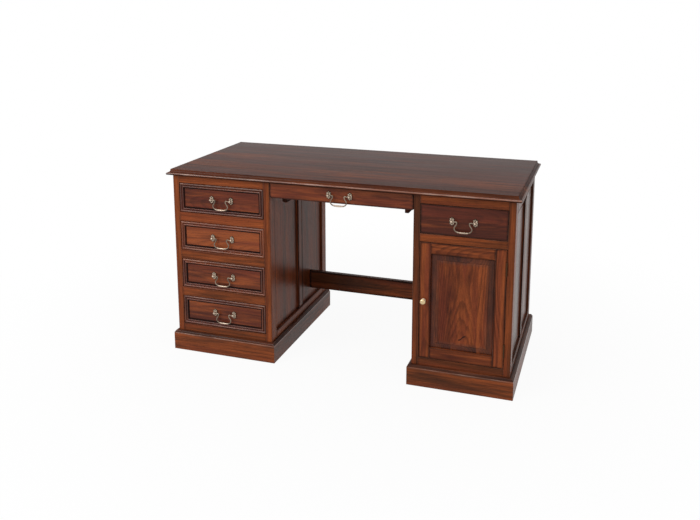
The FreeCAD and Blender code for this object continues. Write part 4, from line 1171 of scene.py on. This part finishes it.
class DESK_OT_handles(Operator):
    """Makes the rosettes, posts and swan-neck bails"""

    bl_idname = "desk.handles"
    bl_label = "Handles"

    def rosette(self, x, face, z, width, height, rise):
        """A pair of leaves: radius = half size * (1 - small lobes - a waist at the sides), and
        height = dome + lobed ridges + a collar - a hollow in the middle of each leaf.
        """
        share = np.concatenate([[1.0, 1.0], np.linspace(0.97, 0, 18)])[:, None]
        angle = circle_angles(LEAF_POINTS)[None, :]
        lobed = np.cos(LOBES * angle)
        cut = LOBE_DEPTH * (1 - lobed) + WAIST_DEPTH * bell(np.sin(angle), 0, WAIST_WIDTH)
        reach = share * (1 - cut * share**2)
        ridge = (0.5 + 0.5 * lobed) * np.sin(np.pi * share) ** 1.5
        dome = np.sqrt(np.clip(1 - share**4, 0, 1))
        hollow = bell(share * np.abs(np.sin(angle)), 0.50, 0.12) * bell(share * np.cos(angle), 0, 0.24)
        collar = bell(share, 0.36, 0.07)
        tall = rise * (0.35 + 0.35 * dome + 0.22 * ridge + 0.18 * collar - 0.42 * hollow)
        tall[0] = 0
        tall[1] = 0.30 * rise
        across = x + width / 2 * reach * np.cos(angle)
        up = z + height / 2 * reach * np.sin(angle)
        worn = np.clip((tall / rise - 0.53) / 0.3, 0, 1)
        return carry(np.stack([across, face - tall, up], -1), caps=(True, False), wear=worn.ravel())

    def post(self, x, face, z, standoff, head):
        """A turned post: a flared foot on the rosette, a neck and the ball that holds the bail."""
        turn = np.linspace(-0.62, 1, 12) * np.pi / 2
        ball = np.column_stack([head * np.cos(turn), standoff + head * np.sin(turn)])
        profile = np.concatenate([POST_FOOT * (head, standoff), ball])
        worn = np.clip(profile[:, 1] / (standoff + head), 0, 1)
        return turned(profile, np.array([x, face, z]), POST_POINTS, worn)

    def bail(self, pivot, half, reach, drop, radius):
        """A swan-neck wire hung between the posts: a round section carried along a smooth path.

        The wire swells to a grip in the middle of its foot, with a small collar at each end of the grip,
        and ends in a button outside each post.
        """
        button = [(half + reach, 0), (half + 0.3 * reach, 0)]
        side = np.concatenate([button, SWAN_NECK * (half, drop)])
        path = spline(np.concatenate([side * (-1, 1), side[::-1]]), 7)
        way = np.gradient(path, axis=0)
        way = way / np.linalg.norm(way, axis=1, keepdims=True)
        out = np.abs(path[:, 0])
        low = np.clip(-path[:, 1] / drop, 0, 1) > 0.97
        spread = out / (GRIP_SHARE * half)
        grip = np.where(low, np.clip(1 - spread**2, 0, 1), 0)
        collar = np.where(low, bell(spread, 1.0, 0.13), 0)
        wire, swelling, ring = WIRE_SHARES
        ends = np.clip((out - half - (1 - BUTTON_ROUND) * reach) / (BUTTON_ROUND * reach), 0, 1)
        tapered = np.sqrt(np.clip(1 - ends**2, 0.02, 1))
        thick = radius * (wire + swelling * grip + ring * collar) * tapered
        angle = circle_angles(WIRE_POINTS)[None, :, None]
        normal = (way[:, :1] * Z - way[:, 1:] * X)[:, None]
        centre = (pivot + path[:, :1] * X + path[:, 1:] * Z)[:, None]
        rings = centre + thick[:, None, None] * (np.cos(angle) * normal + np.sin(angle) * Y)
        worn = np.clip(0.38 + 0.57 * grip + 0.2 * collar, 0, 1)
        return carry(rings, wear=np.repeat(worn, WIRE_POINTS))

    def execute(self, context):
        sizes = context.scene.desk_sizes
        width, radius = sizes.rosette_width, sizes.wire_radius
        for drawer in DRAWERS:
            low, high = box_of(f"{drawer}_handle_posts")
            bail_low, bail_high = box_of(f"{drawer}_bail")
            pivot = PIVOT_OF[f"{drawer}_bail"]
            half = (high[0] - low[0] - width) / 2
            standoff, head = high[1] - pivot[1], pivot[1] - low[1]
            shapes = []
            for x in (pivot[0] - half, pivot[0] + half):
                place = (x, high[1], pivot[2])
                shapes.append(self.rosette(*place, width, high[2] - low[2], ROSETTE_RISE * standoff))
                shapes.append(self.post(*place, standoff, head))
            dress(f"{drawer}_handle_posts", join(shapes))
            reach = (bail_high[0] - bail_low[0]) / 2 - half
            drop = pivot[2] - bail_low[2] - radius
            dress(f"{drawer}_bail", self.bail(pivot, half, reach, drop, radius))
        return {"FINISHED"}


# The knob's rose and neck, as shares of its radius and length, the share of its length that the front
# half of its head takes, and the points round it
KNOB_ROSE = [(0, 0), (0.8, 0), (0.82, 0.05), (0.76, 0.1), (0.62, 0.12), (0.5, 0.16)]
KNOB_NECK = [(0.42, 0.24), (0.42, 0.34), (0.5, 0.42), (0.72, 0.5)]
KNOB_HEAD = 0.31
KNOB_POINTS = 48


class DESK_OT_fittings(Operator):
    """Makes the knob and the catch, and finishes hinges and pins"""

    bl_idname = "desk.fittings"
    bl_label = "Fittings"

    def knob(self):
        """A turned knob: a beaded rose, a waisted neck and a round head with a flat ring."""
        low, high = box_of("door_knob")
        radius, length = (high[0] - low[0]) / 2, high[1] - low[1]
        crown = np.linspace(-0.35, 1, 16) * np.pi / 2
        head = np.column_stack([np.cos(crown), 1 - KNOB_HEAD + KNOB_HEAD * np.sin(crown)])
        profile = np.concatenate([KNOB_ROSE, KNOB_NECK, head]) * (radius, length)
        worn = np.clip(profile[:, 1] / length * 1.3, 0, 1)
        return turned(profile, back_middle(low, high), KNOB_POINTS, worn)

    def execute(self, context):
        dress("door_knob", self.knob())
        dress_boards(context, ("door_catch", "catch_plate"))
        for node in ("hinge_door_leaves", "hinge_post_leaves", "hinge_pins", "shelf_pins"):
            mesh = frame["nodes"][node].data
            mesh.materials.clear()
            mesh.materials.append(finish_for(node))
        return {"FINISHED"}


WHITE = (1.0, 1.0, 1.0, 1.0)
FLOOR_GREY = (0.86, 0.86, 0.86, 1.0)
FLOOR_REACH = 30.0
# How much of the floor is plain white to the viewer near the desk and far from it, and the distances
# between which that changes
FLOOR_WHITE = (0.94, 1.0)
FLOOR_FADE = (0.6, 2.0)
# The lamps' places, what they shine at and how wide they are
KEY_LAMP = ((-2.6, -3.4, 2.9), (0, 0, 0.4), 2.4)
FILL_LAMP = ((0.6, -0.4, 3.6), (0, 0, 0.5), 2.5)
SENSOR_WIDTH = 36.0


class DESK_OT_stage(Operator):
    """Sets the floor, the light and the camera"""

    bl_idname = "desk.stage"
    bl_label = "Stage"

    def white_for_viewers(self, finish):
        """1 for rays from the camera, mirrors and glass, and 0 for the light that falls on things."""
        camera = finish.node("ShaderNodeLightPath", output="Is Camera Ray")
        return camera.larger(camera.sibling("Is Glossy Ray")).larger(camera.sibling("Is Transmission Ray"))

    def floor(self):
        """A wide pale floor that keeps the desk's shadow."""
        corners = FLOOR_REACH * np.array([[(1, -1, 0), (-1, -1, 0)], [(1, 1, 0), (-1, 1, 0)]])
        finish = Finish(bpy.data.materials.new("pale_floor"))
        matt = finish.node("ShaderNodeBsdfDiffuse", {}, {"Color": FLOOR_GREY})
        glow = finish.node("ShaderNodeEmission", {}, {"Color": WHITE, "Strength": 1.0})
        length = {"operation": "LENGTH"}
        away = finish.node("ShaderNodeVectorMath", length, {"Vector": finish.place()}, output="Value")
        share = self.white_for_viewers(finish) * finish.between(away, *FLOOR_FADE, *FLOOR_WHITE)
        mixed = finish.node("ShaderNodeMixShader", {}, {"Fac": share, "Shader": matt, "Shader_001": glow})
        finish.node("ShaderNodeOutputMaterial", {}, {"Surface": mixed})
        floor = make_object("floor", sheet(corners), finish.owner)

    def sky(self, strength):
        """Soft white light from all round, seen as plain white."""
        world = bpy.data.worlds.new("studio")
        bpy.context.scene.world = world
        finish = Finish(world)
        level = self.white_for_viewers(finish) * (1.0 - strength) + strength
        light = finish.node("ShaderNodeBackground", {}, {"Color": WHITE, "Strength": level})
        finish.node("ShaderNodeOutputWorld", {}, {"Surface": light})

    def lamp(self, name, place, aim, size, power):
        """A square soft lamp that shines at a point."""
        light = bpy.data.lights.new(name, "AREA")
        light.energy = power
        light.size = size
        lamp = bpy.data.objects.new(name, light)
        lamp.location = place
        x, y, z = np.array(aim) - np.array(place)
        lamp.rotation_euler = (math.atan2(math.hypot(x, y), -z), 0, math.atan2(-x, y))
        bpy.context.scene.collection.objects.link(lamp)

    def execute(self, context):
        stage = context.scene.desk_stage
        context.scene.view_settings.view_transform = "Standard"
        self.floor()
        self.sky(stage.sky_strength)
        self.lamp("key", *KEY_LAMP, stage.key_power)
        self.lamp("overhead", *FILL_LAMP, stage.fill_power)
        view = bpy.data.cameras.new("camera")
        view.sensor_fit = "HORIZONTAL"
        view.sensor_width = SENSOR_WIDTH
        view.lens = stage.lens
        view.shift_y = stage.lens_shift
        camera = bpy.data.objects.new("camera", view)
        camera.location = stage.camera_place
        camera.rotation_euler = (math.pi / 2 - stage.camera_pitch, 0, stage.camera_yaw)
        context.scene.collection.objects.link(camera)
        context.scene.camera = camera
        return {"FINISHED"}


GROUPS = {"desk_sizes": DeskSizes, "desk_finishes": DeskFinishes, "desk_stage": DeskStage}
MAKERS = (
    DESK_OT_top,
    DESK_OT_cases,
    DESK_OT_plinths,
    DESK_OT_kneehole,
    DESK_OT_insides,
    DESK_OT_drawers,
    DESK_OT_door,
    DESK_OT_handles,
    DESK_OT_fittings,
    DESK_OT_stage,
)


class DESK_PT_sidebar(Panel):
    """The desk's sizes, finishes and pieces"""

    bl_label = "Desk"
    bl_idname = "DESK_PT_sidebar"
    bl_space_type = "VIEW_3D"
    bl_region_type = "UI"
    bl_category = "Desk"

    def draw(self, context):
        for group, kind in GROUPS.items():
            for name in kind.__annotations__:
                self.layout.prop(getattr(context.scene, group), name)
        for maker in MAKERS:
            self.layout.operator(maker.bl_idname)


def register():
    for kind in (*GROUPS.values(), *MAKERS, DESK_PT_sidebar):
        bpy.utils.register_class(kind)
    for name, kind in GROUPS.items():
        setattr(bpy.types.Scene, name, PointerProperty(type=kind))


def unregister():
    for name in GROUPS:
        delattr(bpy.types.Scene, name)
    for kind in (DESK_PT_sidebar, *reversed(MAKERS), *GROUPS.values()):
        bpy.utils.unregister_class(kind)


def main():
    register()
    bpy.ops.desk.top()
    bpy.ops.desk.cases()
    bpy.ops.desk.plinths()
    bpy.ops.desk.kneehole()
    bpy.ops.desk.insides()
    bpy.ops.desk.drawers()
    bpy.ops.desk.door()
    bpy.ops.desk.handles()
    bpy.ops.desk.fittings()
    bpy.ops.desk.stage()


if __name__ == "__main__":
    main()
